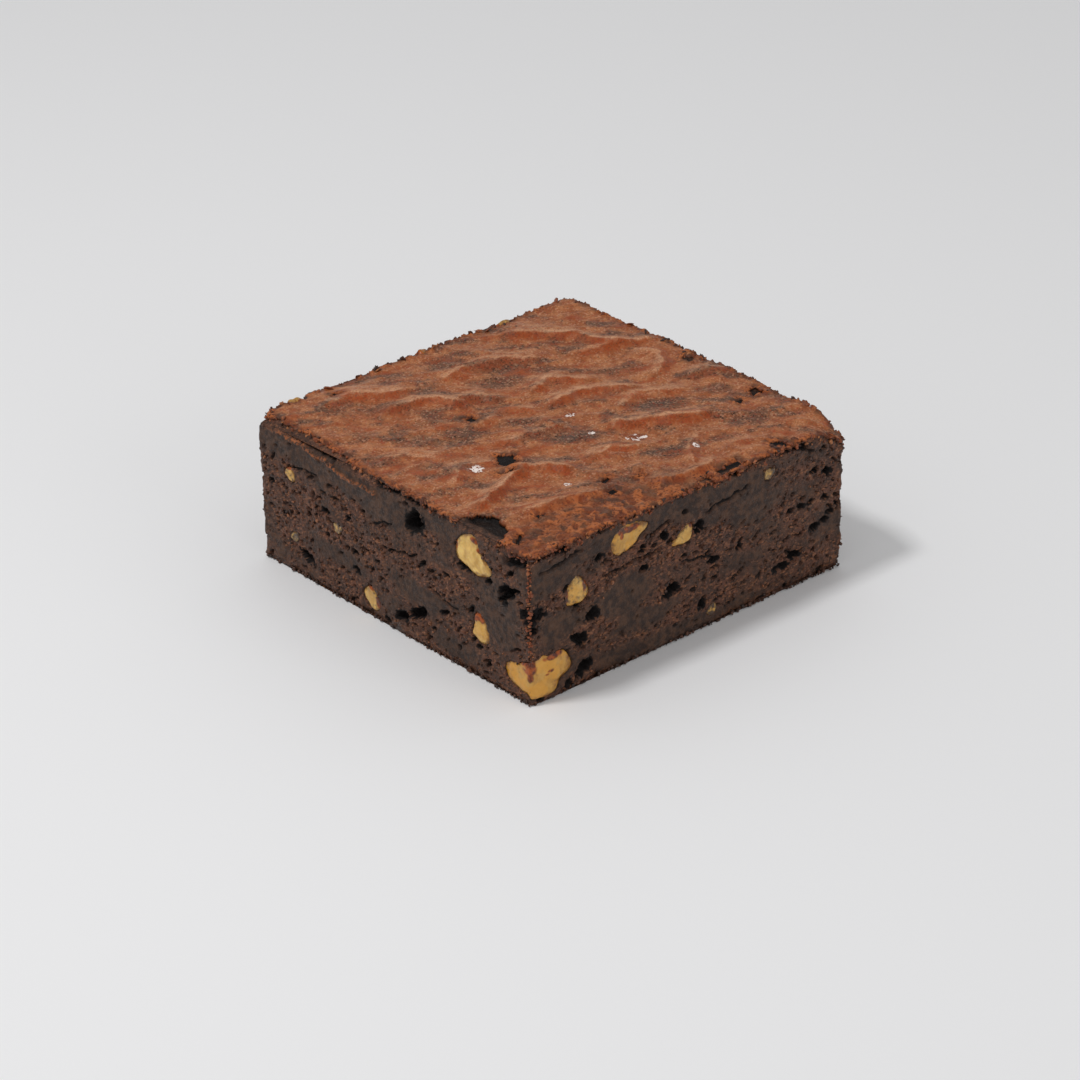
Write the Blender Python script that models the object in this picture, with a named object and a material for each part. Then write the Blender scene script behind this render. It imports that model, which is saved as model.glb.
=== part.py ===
"""Chocolate walnut brownie: one square cut from a tray bake.

One body of dense cake, flat underneath, with a wavy top and roughly cut sides.
Pieces of walnut kernel sit in it and are cut through where they show.
"""
import math

import bmesh
import bpy
from mathutils import Matrix, Vector, noise

MM = 0.001

# Sizes of the square, in metres.
LENGTH = 0.0780
WIDTH = 0.0770
HEIGHT = 0.0303

# The block is divided this finely before it is shaped.
CELL = 0.0031
EDGE_STRIP = 0.0013

# The baked top: broad waves with smaller ripples on them.
TOP_WAVE = 0.0009
TOP_WAVE_LENGTH = 0.019
TOP_RIPPLE_SHARE = 0.4
TOP_RIPPLE_LENGTH = 0.009
TOP_EDGE_DROP = 0.0004

# The cut faces: how far they stray inward, and how their edges are rounded.
SIDE_STRAY = 0.0007
SIDE_STRAY_LENGTH = 0.014
CORNER_ROUND = 0.0011
BOTTOM_TUCK = 0.0007
BOTTOM_TUCK_HEIGHT = 0.0035

# Which stretch of the noise field each surface reads.
TOP_WAVE_SEED = 4.2
TOP_RIPPLE_SEED = 9.7
SIDE_SEEDS = {"+X": 1.3, "-X": 5.1, "+Y": 2.9, "-Y": 7.7}

# Corners and edges that sagged or broke: where along X and Y, reach, and drop.
SAGS = (
    (0.0390, -0.0385, 0.0085, 0.0042),
    (-0.0390, 0.0385, 0.0050, 0.0016),
    (-0.0385, -0.0255, 0.0056, 0.0017),
)
SAG_SHARPNESS = 1.5

# Room left all round a walnut piece.
GAP = 0.0003

# Share of a kernel's half depth that its middle lies inside the cut face.
KERNEL_INSET = 0.25

# A kernel's lobes: how much each adds to its radius, and how tightly it turns.
BROAD_LOBE = 0.16
BROAD_LOBE_TURNS = 1.3
FINE_LOBE = 0.06
FINE_LOBE_TURNS = 2.7

# Each kernel and hollow reads its own stretch of the noise field.
KERNEL_SEED_STEP = 3.7
FIRST_KERNEL_SEED = 1.1
FIRST_HOLLOW = 40

# Pieces of walnut: name, face, place along the face, height, width, tallness,
# depth, turn in degrees, bend, fineness. Lengths are in millimetres.
KERNELS = (
    ("walnut_corner", "corner", 2.6, 5.4, 15.0, 8.4, 15.0, 0.0, 0.00, 3),
    ("walnut_left_a", "left", 61.4, 25.0, 10.4, 6.6, 9.0, -22.0, 0.18, 3),
    ("walnut_left_b", "left", 62.6, 9.9, 4.7, 6.0, 6.0, 8.0, 0.00, 3),
    ("walnut_left_c", "left", 32.1, 4.4, 5.0, 5.0, 6.0, 0.0, 0.00, 3),
    ("walnut_left_d", "left", 8.9, 21.1, 2.8, 3.0, 4.0, 0.0, 0.00, 2),
    ("walnut_left_e", "left", 22.9, 14.9, 3.0, 2.5, 4.0, 20.0, 0.00, 2),
    ("walnut_left_f", "left", 9.2, 7.6, 3.0, 2.5, 4.0, -15.0, 0.00, 2),
    ("walnut_right_a", "right", 23.9, 25.6, 10.2, 5.0, 8.0, -10.0, 0.10, 3),
    ("walnut_right_b", "right", 36.9, 21.9, 5.0, 3.9, 6.0, 24.0, 0.00, 3),
    ("walnut_right_c", "right", 11.1, 19.9, 5.3, 6.2, 7.0, 0.0, 0.00, 3),
    ("walnut_right_d", "right", 58.3, 26.6, 3.0, 3.0, 4.0, 0.0, 0.00, 2),
    ("walnut_right_e", "right", 44.4, 3.3, 3.0, 2.6, 4.0, 0.0, 0.00, 2),
    ("walnut_rim_a", "back", 70.0, 27.6, 5.0, 4.0, 5.0, 12.0, 0.00, 2),
    ("walnut_rim_b", "back", 38.5, 27.8, 4.0, 3.6, 5.0, 0.0, 0.00, 2),
    ("walnut_rim_c", "back", 18.5, 27.4, 7.0, 4.2, 5.0, -8.0, 0.00, 2),
)

# Open hollows torn in the cut faces, in the same terms.
HOLLOWS = (
    ("hollow_left_a", "left", 45.8, 25.0, 5.9, 5.0, 7.0, 0.0, 0.00, 2),
    ("hollow_left_b", "left", 71.0, 20.6, 6.5, 3.6, 6.0, 28.0, 0.00, 2),
    ("hollow_left_c", "left", 43.9, 5.4, 8.4, 4.4, 6.0, 24.0, 0.00, 2),
    ("hollow_right_a", "right", 14.8, 13.6, 3.4, 2.7, 4.0, 0.0, 0.00, 2),
    ("hollow_right_b", "right", 34.2, 11.6, 3.9, 2.8, 4.0, 10.0, 0.00, 2),
    ("hollow_right_c", "right", 14.0, 3.9, 4.0, 2.8, 4.0, 0.0, 0.00, 2),
)

# Each cut face: where its run starts, the way it runs, and the way it looks.
FACES = {
    "left": (Vector((-LENGTH / 2, WIDTH / 2, 0)), Vector((0, -1, 0)), Vector((-1, 0, 0))),
    "right": (Vector((-LENGTH / 2, -WIDTH / 2, 0)), Vector((1, 0, 0)), Vector((0, -1, 0))),
    "back": (Vector((LENGTH / 2, WIDTH / 2, 0)), Vector((-1, 0, 0)), Vector((0, 1, 0))),
}

CAKE_COLOUR = (0.055, 0.028, 0.018, 1.0)
WALNUT_COLOUR = (0.52, 0.30, 0.10, 1.0)


def clear_scene():
    """Remove everything that a new file starts with."""
    for old in list(bpy.data.objects):
        bpy.data.objects.remove(old, do_unlink=True)


def new_collection(name):
    """A collection linked under the scene's own."""
    made = bpy.data.collections.new(name)
    bpy.context.scene.collection.children.link(made)
    return made


def put_in(obj, collection):
    """Move an object out of every collection and into this one."""
    for held in list(obj.users_collection):
        held.objects.unlink(obj)
    collection.objects.link(obj)


def new_material(name, colour, roughness):
    """A plain principled material."""
    made = bpy.data.materials.new(name)
    made.use_nodes = True
    shader = made.node_tree.nodes["Principled BSDF"]
    shader.inputs["Base Color"].default_value = colour
    shader.inputs["Roughness"].default_value = roughness
    shader.inputs["Metallic"].default_value = 0.0
    return made


def stops(length, cell):
    """Even stops along a centred length, with a narrow strip kept at both ends."""
    inner = length / 2 - EDGE_STRIP
    count = max(1, round(2 * inner / cell))
    return [-inner + 2 * inner * step / count for step in range(count + 1)]


def slice_mesh(mesh, places, axis):
    """Cut new edges round the mesh at each place along one axis."""
    normal = Vector([1.0 if i == axis else 0.0 for i in range(3)])
    for place in places:
        bmesh.ops.bisect_plane(
            mesh,
            geom=mesh.verts[:] + mesh.edges[:] + mesh.faces[:],
            dist=1e-7,
            plane_co=normal * place,
            plane_no=normal,
        )


def straying(along, up, seed, length):
    """Smooth noise between about -1 and 1 at one spot of a surface."""
    return noise.noise(Vector((along / length, up / length, seed)))


def top_height(x, y):
    """Height of the baked top over the plain block's top."""
    wave = straying(x, y, TOP_WAVE_SEED, TOP_WAVE_LENGTH)
    ripple = straying(x, y, TOP_RIPPLE_SEED, TOP_RIPPLE_LENGTH)
    return TOP_WAVE * (wave + TOP_RIPPLE_SHARE * ripple)


def sag(x, y):
    """How far the sagged and broken corners fall at one spot of the top."""
    total = 0.0
    for place_x, place_y, reach, drop in SAGS:
        near = 1.0 - math.hypot(x - place_x, y - place_y) / reach
        total += drop * max(0.0, near) ** SAG_SHARPNESS
    return total


def side_inset(along, z, seed):
    """How far a cut face lies inside the plain block at one spot."""
    stray = SIDE_STRAY * (1.0 + straying(along, z, seed, SIDE_STRAY_LENGTH)) / 2
    tuck = BOTTOM_TUCK * max(0.0, 1.0 - z / BOTTOM_TUCK_HEIGHT) ** 2
    return stray + tuck


def shape_block(mesh):
    """Move every point of the plain block to its place on the baked, cut square."""
    slack = 1e-6
    for vert in mesh.verts:
        x, y, z = vert.co
        on_x = abs(x) > LENGTH / 2 - slack
        on_y = abs(y) > WIDTH / 2 - slack
        rise = z / HEIGHT
        if z > slack:
            vert.co.z += (top_height(x, y) - sag(x, y)) * rise ** 2
        if z > HEIGHT - slack and (on_x or on_y):
            vert.co.z -= TOP_EDGE_DROP
        if on_x:
            seed = SIDE_SEEDS["+X" if x > 0 else "-X"]
            inset = side_inset(y, z, seed) + (CORNER_ROUND if on_y else 0.0)
            vert.co.x -= math.copysign(inset, x)
        if on_y:
            seed = SIDE_SEEDS["+Y" if y > 0 else "-Y"]
            inset = side_inset(x, z, seed) + (CORNER_ROUND if on_x else 0.0)
            vert.co.y -= math.copysign(inset, y)


def centre_block(mesh):
    """Slide the block so that its box stands centred over the origin."""
    xs = [vert.co.x for vert in mesh.verts]
    ys = [vert.co.y for vert in mesh.verts]
    middle = Vector(((min(xs) + max(xs)) / 2, (min(ys) + max(ys)) / 2, 0.0))
    for vert in mesh.verts:
        vert.co -= middle


def make_block(name):
    """The whole square, before any walnut or hollow is let into it."""
    bpy.ops.mesh.primitive_cube_add(size=1.0, location=(0.0, 0.0, 0.0))
    block = bpy.context.active_object
    block.name = name
    mesh = bmesh.new()
    mesh.from_mesh(block.data)
    bmesh.ops.scale(mesh, vec=(LENGTH, WIDTH, HEIGHT), verts=mesh.verts)
    slice_mesh(mesh, stops(LENGTH, CELL), 0)
    slice_mesh(mesh, stops(WIDTH, CELL), 1)
    slice_mesh(mesh, stops(HEIGHT, CELL), 2)
    bmesh.ops.translate(mesh, vec=(0.0, 0.0, HEIGHT / 2), verts=mesh.verts)
    under = [face for face in mesh.faces if face.calc_center_median().z < 1e-6]
    bmesh.ops.dissolve_faces(mesh, faces=under, use_verts=False)
    shape_block(mesh)
    centre_block(mesh)
    mesh.to_mesh(block.data)
    mesh.free()
    return block


def kernel_frame(face, along, up, depth):
    """Middle of a piece and its turn: X runs along the face, Y into it, Z up."""
    if face == "corner":
        outward = Vector((-1.0, -1.0, 0.0)).normalized()
        run = Vector((1.0, -1.0, 0.0)).normalized()
        place = Vector((-LENGTH / 2 + along, -WIDTH / 2 + along, up))
    else:
        start, run, outward = FACES[face]
        inset = depth / 2 * KERNEL_INSET
        place = start + run * along - outward * inset + Vector((0.0, 0.0, up))
    turn = Matrix((run, -outward, Vector((0.0, 0.0, 1.0)))).transposed()
    return place, turn


def lobed(direction, seed):
    """Radius of a kernel in one direction: an ellipsoid's, with soft lobes."""
    broad = noise.noise(direction * BROAD_LOBE_TURNS + Vector((seed, 0.0, 0.0)))
    fine = noise.noise(direction * FINE_LOBE_TURNS + Vector((0.0, seed, 0.0)))
    return 1.0 + BROAD_LOBE * broad + FINE_LOBE * fine


def make_kernel(row, number):
    """One piece of kernel as a lobed, bent ellipsoid across a cut face."""
    name, face, along, up, wide, tall, deep, degrees, bend, fineness = row
    place, turn = kernel_frame(face, along * MM, up * MM, deep * MM)
    seed = KERNEL_SEED_STEP * number + FIRST_KERNEL_SEED
    bpy.ops.mesh.primitive_ico_sphere_add(subdivisions=fineness, radius=1.0)
    kernel = bpy.context.active_object
    kernel.name = name
    roll = Matrix.Rotation(math.radians(-degrees), 3, "Y")
    mesh = bmesh.new()
    mesh.from_mesh(kernel.data)
    for vert in mesh.verts:
        out = vert.co.normalized() * lobed(vert.co.normalized(), seed)
        out.z -= bend * (out.x ** 2 - 0.5)
        local = Vector((out.x * wide, out.y * deep, out.z * tall)) * (MM / 2)
        vert.co = turn @ (roll @ local) + place
    mesh.to_mesh(kernel.data)
    mesh.free()
    return kernel


def grown_copy(source, name, amount):
    """A copy of a closed mesh with every point moved out along its normal."""
    copy = bpy.data.objects.new(name, source.data.copy())
    mesh = bmesh.new()
    mesh.from_mesh(copy.data)
    mesh.normal_update()
    moved = [vert.co + vert.normal * amount for vert in mesh.verts]
    for vert, place in zip(mesh.verts, moved):
        vert.co = place
    mesh.to_mesh(copy.data)
    mesh.free()
    return copy


def hide_cutter(obj, collection):
    """Keep a cutter out of the part and show it as wire."""
    put_in(obj, collection)
    obj.hide_render = True
    obj.display_type = "WIRE"


def add_boolean(obj, cutter, operation):
    """An exact Boolean modifier."""
    made = obj.modifiers.new(cutter.name, "BOOLEAN")
    made.operation = operation
    made.solver = "EXACT"
    made.object = cutter


def finish(obj, collection, material):
    """Give a sub-part its material and its place in the part's collection."""
    obj.data.materials.clear()
    obj.data.materials.append(material)
    put_in(obj, collection)


clear_scene()
part = new_collection("walnut_brownie")
cutters = new_collection("cutters")
cake_material = new_material("dense_chocolate_cake", CAKE_COLOUR, 0.65)
walnut_material = new_material("walnut_kernel", WALNUT_COLOUR, 0.5)

cake = make_block("cake")
finish(cake, part, cake_material)
whole = make_block("whole_block")
hide_cutter(whole, cutters)

for index, row in enumerate(KERNELS):
    piece = make_kernel(row, index)
    pocket = grown_copy(piece, row[0] + "_pocket", GAP)
    hide_cutter(pocket, cutters)
    add_boolean(cake, pocket, "DIFFERENCE")
    finish(piece, part, walnut_material)
    add_boolean(piece, whole, "INTERSECT")

for index, row in enumerate(HOLLOWS):
    hollow = make_kernel(row, FIRST_HOLLOW + index)
    hide_cutter(hollow, cutters)
    add_boolean(cake, hollow, "DIFFERENCE")
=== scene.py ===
"""Chocolate walnut brownie: crumb, walnut pieces, papery crust, flakes and crumbs.

Lengths are worked out in millimetres and put into the meshes in metres.
"""
import math

import bpy
import numpy as np
from mathutils import Matrix, Vector
from mathutils.geometry import delaunay_2d_cdt


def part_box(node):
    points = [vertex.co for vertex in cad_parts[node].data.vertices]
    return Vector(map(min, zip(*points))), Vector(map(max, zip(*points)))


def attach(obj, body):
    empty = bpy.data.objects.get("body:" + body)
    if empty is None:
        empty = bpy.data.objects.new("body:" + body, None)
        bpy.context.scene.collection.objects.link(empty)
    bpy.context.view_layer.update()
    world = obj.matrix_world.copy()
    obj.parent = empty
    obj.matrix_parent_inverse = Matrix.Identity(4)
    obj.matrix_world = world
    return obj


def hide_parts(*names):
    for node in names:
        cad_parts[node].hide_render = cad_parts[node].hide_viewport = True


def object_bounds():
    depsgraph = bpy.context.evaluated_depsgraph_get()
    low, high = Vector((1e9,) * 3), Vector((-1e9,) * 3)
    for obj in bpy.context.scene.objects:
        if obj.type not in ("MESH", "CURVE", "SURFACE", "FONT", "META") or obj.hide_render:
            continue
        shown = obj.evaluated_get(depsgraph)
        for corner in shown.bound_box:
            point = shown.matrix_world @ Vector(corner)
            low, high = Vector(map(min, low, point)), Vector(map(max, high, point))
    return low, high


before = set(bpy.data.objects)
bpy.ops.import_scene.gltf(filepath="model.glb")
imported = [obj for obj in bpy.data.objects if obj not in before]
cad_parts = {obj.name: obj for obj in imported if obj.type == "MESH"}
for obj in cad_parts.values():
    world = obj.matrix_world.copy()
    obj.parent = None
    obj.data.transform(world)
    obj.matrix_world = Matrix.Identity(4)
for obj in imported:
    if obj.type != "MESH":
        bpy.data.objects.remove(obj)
cad_box = [[float(value) for value in corner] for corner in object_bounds()]


# ---------------------------------------------------------------------------
# Crumb: the dense cake itself, cut with a knife on four sides. Fudgy bands
# smear flat under the blade; the airier parts tear and open into pores.
# ---------------------------------------------------------------------------
MM = 0.001
low = np.array(cad_box[0]) / MM
high = np.array(cad_box[1]) / MM
# The top's mean height, the most that any fold or kernel reaches, and the crust over it.
TOP = high[2] - 0.45
HIGHEST = high[2] + 0.8
CRUST_THICK = 0.6
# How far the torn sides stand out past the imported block, and how round its upright edges are.
SPREAD = 0.22
CORNER = 0.55
HALF_X = (high[0] - low[0]) / 2 + SPREAD
HALF_Y = (high[1] - low[1]) / 2 + SPREAD
RUN_X = 2 * HALF_X
RUN_Y = 2 * HALF_Y
PERIMETER = 2 * (RUN_X + RUN_Y)
# Distances round the square start at the front edge, where the -X and -Y sides meet: first
# comes the right face (-Y), then +X, then +Y, and last the left face (-X), to the front.
BACK_START = RUN_X + RUN_Y
LEFT_START = PERIMETER - RUN_Y
# Spacing of points along the left and right faces and along the other two; rows in height.
FINE = 0.26
COARSE = 0.55
ROWS = 104

# Random numbers for the lattices that every pattern of relief is made from.
hash_table = np.random.default_rng(11).permutation(256)
slopes = np.random.default_rng(12).normal(size=(256, 3))
slopes /= np.linalg.norm(slopes, axis=1)[:, None]
shaken = np.random.default_rng(13).uniform(0.0, 1.0, (256, 3))
tones = np.random.default_rng(14).uniform(0.0, 1.0, 256)


def lattice_pick(cell):
    """A number from 0 to 255 for each cell of a lattice: random, but the same each time."""
    first = hash_table[cell[..., 0]]
    second = hash_table[(first + cell[..., 1]) & 255]
    return hash_table[(second + cell[..., 2]) & 255]


def drift(x, y, z, size, seed):
    """Smooth noise, about -1 to 1, with features of one size: random slopes at the
    corners of a lattice, blended by the quintic 6t^5 - 15t^4 + 10t^3."""
    place = np.stack(np.broadcast_arrays(x, y, z), -1) / size + seed * 7.31
    whole = np.floor(place).astype(int)
    part = place - whole
    ease = part * part * part * (part * (part * 6 - 15) + 10)
    total = 0.0
    for corner in range(8):
        step = np.array([corner & 1, corner >> 1 & 1, corner >> 2])
        pick = lattice_pick((whole + step) & 255)
        rise = np.sum(slopes[pick] * (part - step), -1)
        weight = np.prod(np.where(step == 1, ease, 1 - ease), -1)
        total = total + rise * weight
    return total * 1.6


def cells(x, y, z, size, seed):
    """Crumbs packed together: each spot's distance to the nearest of the random points
    shaken off a lattice, in crumb sizes, and the random number which that crumb has."""
    place = np.stack(np.broadcast_arrays(x, y, z), -1) / size + seed * 5.17
    whole = np.floor(place).astype(int)
    part = place - whole
    nearest = np.full(place.shape[:-1], 9.0)
    own = np.zeros(place.shape[:-1])
    for step in np.stack(np.meshgrid([-1, 0, 1], [-1, 0, 1], [-1, 0, 1]), -1).reshape(-1, 3):
        pick = lattice_pick((whole + step) & 255)
        apart = np.linalg.norm(part - step - shaken[pick], axis=-1)
        own = np.where(apart < nearest, tones[pick], own)
        nearest = np.minimum(nearest, apart)
    return nearest, own


def ramp(value, start, end):
    """0 before start, 1 after end, and a smooth 3t^2 - 2t^3 between them."""
    t = np.clip((value - start) / (end - start), 0.0, 1.0)
    return t * t * (3 - 2 * t)


def make_piece(name, points, faces, values=None):
    """A smooth mesh from points in millimetres, with its point attributes."""
    mesh = bpy.data.meshes.new(name)
    mesh.from_pydata((np.asarray(points) * MM).tolist(), [], faces)
    for key, value in (values or {}).items():
        layer = mesh.attributes.new(key, "FLOAT", "POINT")
        layer.data.foreach_set("value", np.asarray(value, dtype=np.float32).ravel())
    mesh.shade_smooth()
    piece = bpy.data.objects.new(name, mesh)
    bpy.context.scene.collection.objects.link(piece)
    return piece


def wall_base(s):
    """Plan position and outward normal at each distance s round the square: straight
    runs joined by arcs, starting along the -Y side and going anticlockwise."""
    s = np.mod(s, PERIMETER)
    starts = np.array([0.0, RUN_X, RUN_X + RUN_Y, 2 * RUN_X + RUN_Y, PERIMETER])
    side = np.clip(np.searchsorted(starts, s, side="right") - 1, 0, 3)
    along = s - starts[side]
    run = np.where(side % 2 == 0, RUN_X, RUN_Y)
    across = np.where(side % 2 == 0, HALF_Y, HALF_X)
    heading = side * math.pi / 2
    from_end = np.minimum(along, run - along)
    sign = np.where(along < run / 2, -1.0, 1.0)
    bend = np.clip(1 - from_end / CORNER, 0, 1) * math.pi / 4 * sign
    flat_along = along - run / 2
    arc_along = sign * (run / 2 - CORNER + CORNER * np.sin(np.abs(bend)))
    forward = np.where(from_end < CORNER, arc_along, flat_along)
    outward = across - CORNER + CORNER * np.cos(bend)
    tx, ty = np.cos(heading), np.sin(heading)
    nx, ny = ty, -tx
    place = np.stack([forward * tx + outward * nx, forward * ty + outward * ny], -1)
    turn = heading - math.pi / 2 + bend
    return place, np.stack([np.cos(turn), np.sin(turn)], -1)


def near(s, centre):
    """Signed distance round the square from a place on it, the short way."""
    return np.mod(s - centre + PERIMETER / 2, PERIMETER) - PERIMETER / 2


# Height of the baked top. Listed folds and blisters join general waves.
# Folds: points along the crest, measured from the -X and -Y sides, height, half width.
FOLDS = (
    (((12.8, 70.1), (16.9, 70.3), (20.3, 67.6), (24, 65.9)), 1.0, 2.2),
    (((19.8, 60.1), (24.8, 60.3), (27.8, 57.6), (28.8, 55)), 1.1, 2.0),
    (((35.7, 64.3), (39.8, 65.1), (44.4, 63)), 0.7, 1.8),
    (((45.7, 62.6), (49, 63), (52.3, 60.1)), 0.8, 1.8),
    (((58, 69.5), (61.5, 67.5), (65.7, 63.2), (67.3, 57.2), (69, 54.6)), 1.2, 2.2),
    (((62.6, 55.4), (68.2, 53.9), (74, 50.9)), 0.9, 1.9),
    (((45.7, 49.3), (49, 50.5), (54, 45.9)), 1.0, 1.9),
    (((44.4, 41.8), (49.8, 43.2), (53.2, 41.3), (56.8, 38.4)), 1.1, 1.9),
    (((67.3, 39.3), (70.7, 41.3), (73.2, 44.7), (71.5, 48)), 0.8, 1.6),
    (((31.9, 54.2), (34.8, 53.4), (36, 51.2)), 0.8, 1.5),
    (((26.5, 36.3), (31, 35.2), (36, 34.6)), 0.6, 1.8),
    (((46.5, 27.4), (52, 24.2), (59, 20.5)), 1.1, 2.0),
    (((7.3, 19.7), (14, 22.6), (19.8, 24.9)), 1.4, 1.6),
    (((20.6, 26.5), (25.7, 23.4), (26.8, 21.5)), 0.9, 1.4),
    (((35.7, 20.5), (39, 21.1), (42, 18.9)), 0.9, 1.6),
    (((11, 12.6), (19.8, 11.6), (24, 10.2)), 0.8, 1.5),
    (((36.9, 4.9), (40.7, 3.2), (48.2, 4.9)), 0.9, 1.5),
    (((47, 8), (50.5, 12.6), (54, 14.2)), 0.6, 1.6),
    (((71, 33.4), (74, 32.6), (77, 31)), 0.8, 1.6),
    (((5, 47), (9, 44), (12, 40)), 0.4, 2.0),
    (((9, 30.5), (14, 34), (20, 31.5)), 0.6, 1.8),
    (((52, 33), (58, 35), (64, 31)), 0.6, 2.0),
    (((28, 44.5), (33, 46), (38, 43.5)), 0.5, 1.8),
)
# Blisters: centre from the -X and -Y sides, height, radius.
BLISTERS = (
    (50.8, 17.6, 0.9, 2.3),
    (37.6, 18.0, 0.7, 2.2),
    (37.0, 11.6, 0.8, 2.0),
    (36.5, 37.6, 0.5, 2.4),
    (73.5, 30.0, 0.5, 2.4),
)
# Edges and corners that sagged: place from the middle, reach, drop.
SAGS = (
    (39.0, -38.5, 8.0, 4.0),
    (-39.0, 38.5, 5.0, 1.4),
    (39.0, -22.0, 5.0, 0.7),
)


def from_line(x, y, points):
    """Distance from a line through points: positive on its right, negative on its left."""
    nearest = np.full(np.shape(x), 1e9)
    side = np.zeros(np.shape(x))
    for (ax, ay), (bx, by) in zip(points[:-1], points[1:]):
        run = np.array([bx - ax, by - ay])
        t = np.clip(((x - ax) * run[0] + (y - ay) * run[1]) / (run @ run), 0, 1)
        apart = np.hypot(x - ax - t * run[0], y - ay - t * run[1])
        turn = run[1] * (x - ax) - run[0] * (y - ay)
        side = np.where(apart < nearest, turn, side)
        nearest = np.minimum(nearest, apart)
    return np.where(side > 0, nearest, -nearest)


def crest(x, y, points, half_width):
    """A fold along a line: a bell across it, steep on the line's right and drawn out on
    its left."""
    apart = from_line(x, y, points)
    reach = half_width * np.where(apart > 0, 0.62, 1.5)
    return np.exp(-(apart / reach) ** 2)


def slow_height(x, y):
    """The sunk and risen lie of the top, with its sagged corners, but no wrinkles."""
    height = TOP + 0.4 * drift(x, y, 0, 23.0, 1)
    for at_x, at_y, reach, drop in SAGS:
        apart = np.hypot(x - at_x, y - at_y) / reach
        height = height - drop * np.clip(1 - apart, 0, 1) ** 1.6
    return height


def bent(x, y):
    """Distances from the -X and -Y sides, made to wander, so that nothing drawn in them is
    straight."""
    bent_u = x + HALF_X + 0.7 * drift(x, y, 0, 4.5, 7)
    bent_v = y + HALF_Y + 0.7 * drift(x, y, 0, 4.5, 8)
    return bent_u, bent_v


# The wrinkles run along one diagonal: its direction from the X axis, as cosine and sine.
WAVE_COS = 0.86
WAVE_SIN = 0.51


def wrinkles(x, y):
    """Relief of the papery crust: swells drawn out along one diagonal, leaning forward
    because noise is read at a place shifted by its own value, noise folded at zero for
    sharp creases, and the listed folds and blisters."""
    warp_x = x + 1.5 * drift(x, y, 0, 8.0, 3)
    warp_y = y + 1.5 * drift(x, y, 0, 8.0, 4)
    along = warp_x * WAVE_COS - warp_y * WAVE_SIN
    across = warp_x * WAVE_SIN + warp_y * WAVE_COS
    lean = across + 1.5 * drift(along / 1.9, across, 0, 7.5, 5)
    swell = drift(along / 1.9, lean, 0, 7.5, 5)
    crease = (1 - np.abs(drift(along / 1.8, lean, 0, 6.0, 6)) * 1.5).clip(0, 1) ** 2
    small = (1 - np.abs(drift(along / 1.4, lean, 0, 2.8, 9)) * 1.5).clip(0, 1) ** 2
    relief = 0.4 * swell + 0.4 * (crease - 0.4) + 0.1 * (small - 0.4)
    bent_u, bent_v = bent(x, y)
    for points, rise, half_width in FOLDS:
        relief = relief + 0.95 * rise * crest(bent_u, bent_v, points, half_width)
    for at_u, at_v, rise, radius in BLISTERS:
        apart = np.hypot(bent_u - at_u, bent_v - at_v) / radius
        dome = np.sqrt(np.clip(1 - apart ** 2, 0, 1))
        relief = relief + 0.8 * rise * dome * ramp(1 - apart, 0, 0.3)
    edge = np.minimum(HALF_X - np.abs(x), HALF_Y - np.abs(y))
    return (relief - 0.12) * (0.3 + 0.7 * ramp(edge, -0.5, 3.0))


def top_height(x, y):
    """Height of the crust's upper side."""
    return np.minimum(slow_height(x, y) + wrinkles(x, y), HIGHEST)


# Torn hollows: distance along the face, height, width, tallness, turn in degrees
# anticlockwise, depth. The left face runs from the back corner.
LEFT_HOLLOWS = (
    (45.8, 25.6, 5.2, 4.4, 20, 3.6),
    (44.6, 24.0, 3.0, 2.4, -20, 2.6),
    (71.2, 21.4, 5.6, 2.8, 28, 3.0),
    (70.2, 19.6, 3.0, 2.4, 10, 2.4),
    (46.2, 6.6, 5.2, 2.4, 30, 3.0),
    (41.8, 4.2, 4.6, 2.2, 24, 2.6),
    (37.2, 1.4, 2.2, 1.2, 0, 1.4),
    (13.0, 4.9, 4.8, 2.0, -14, 2.2),
    (28.0, 8.1, 2.3, 1.7, 0, 1.8),
    (27.9, 12.0, 2.8, 1.1, 6, 1.5),
    (19.8, 17.7, 2.5, 1.4, 0, 1.6),
    (3.3, 18.1, 1.9, 1.2, 0, 1.5),
    (26.4, 18.8, 1.8, 1.2, 30, 1.3),
    (53.6, 9.7, 3.0, 1.1, 28, 1.5),
    (59.5, 21.7, 3.8, 1.4, -12, 1.8),
    (66.3, 21.6, 2.4, 1.2, 25, 1.5),
    (76.2, 18.4, 2.6, 3.4, 10, 2.2),
    (61.0, 13.4, 2.2, 1.2, 50, 1.3),
    (31.0, 22.0, 1.6, 0.8, 20, 1.0),
    (15.6, 23.2, 2.4, 0.8, 25, 1.0),
    (7.0, 12.0, 1.6, 1.2, 0, 1.2),
    (50.5, 5.0, 1.8, 1.0, 20, 1.1),
    (10.8, 13.4, 1.4, 0.9, 20, 1.0),
    (35.0, 12.9, 1.8, 0.8, 20, 1.0),
    (57.5, 4.2, 1.5, 0.9, 30, 1.0),
)
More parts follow.
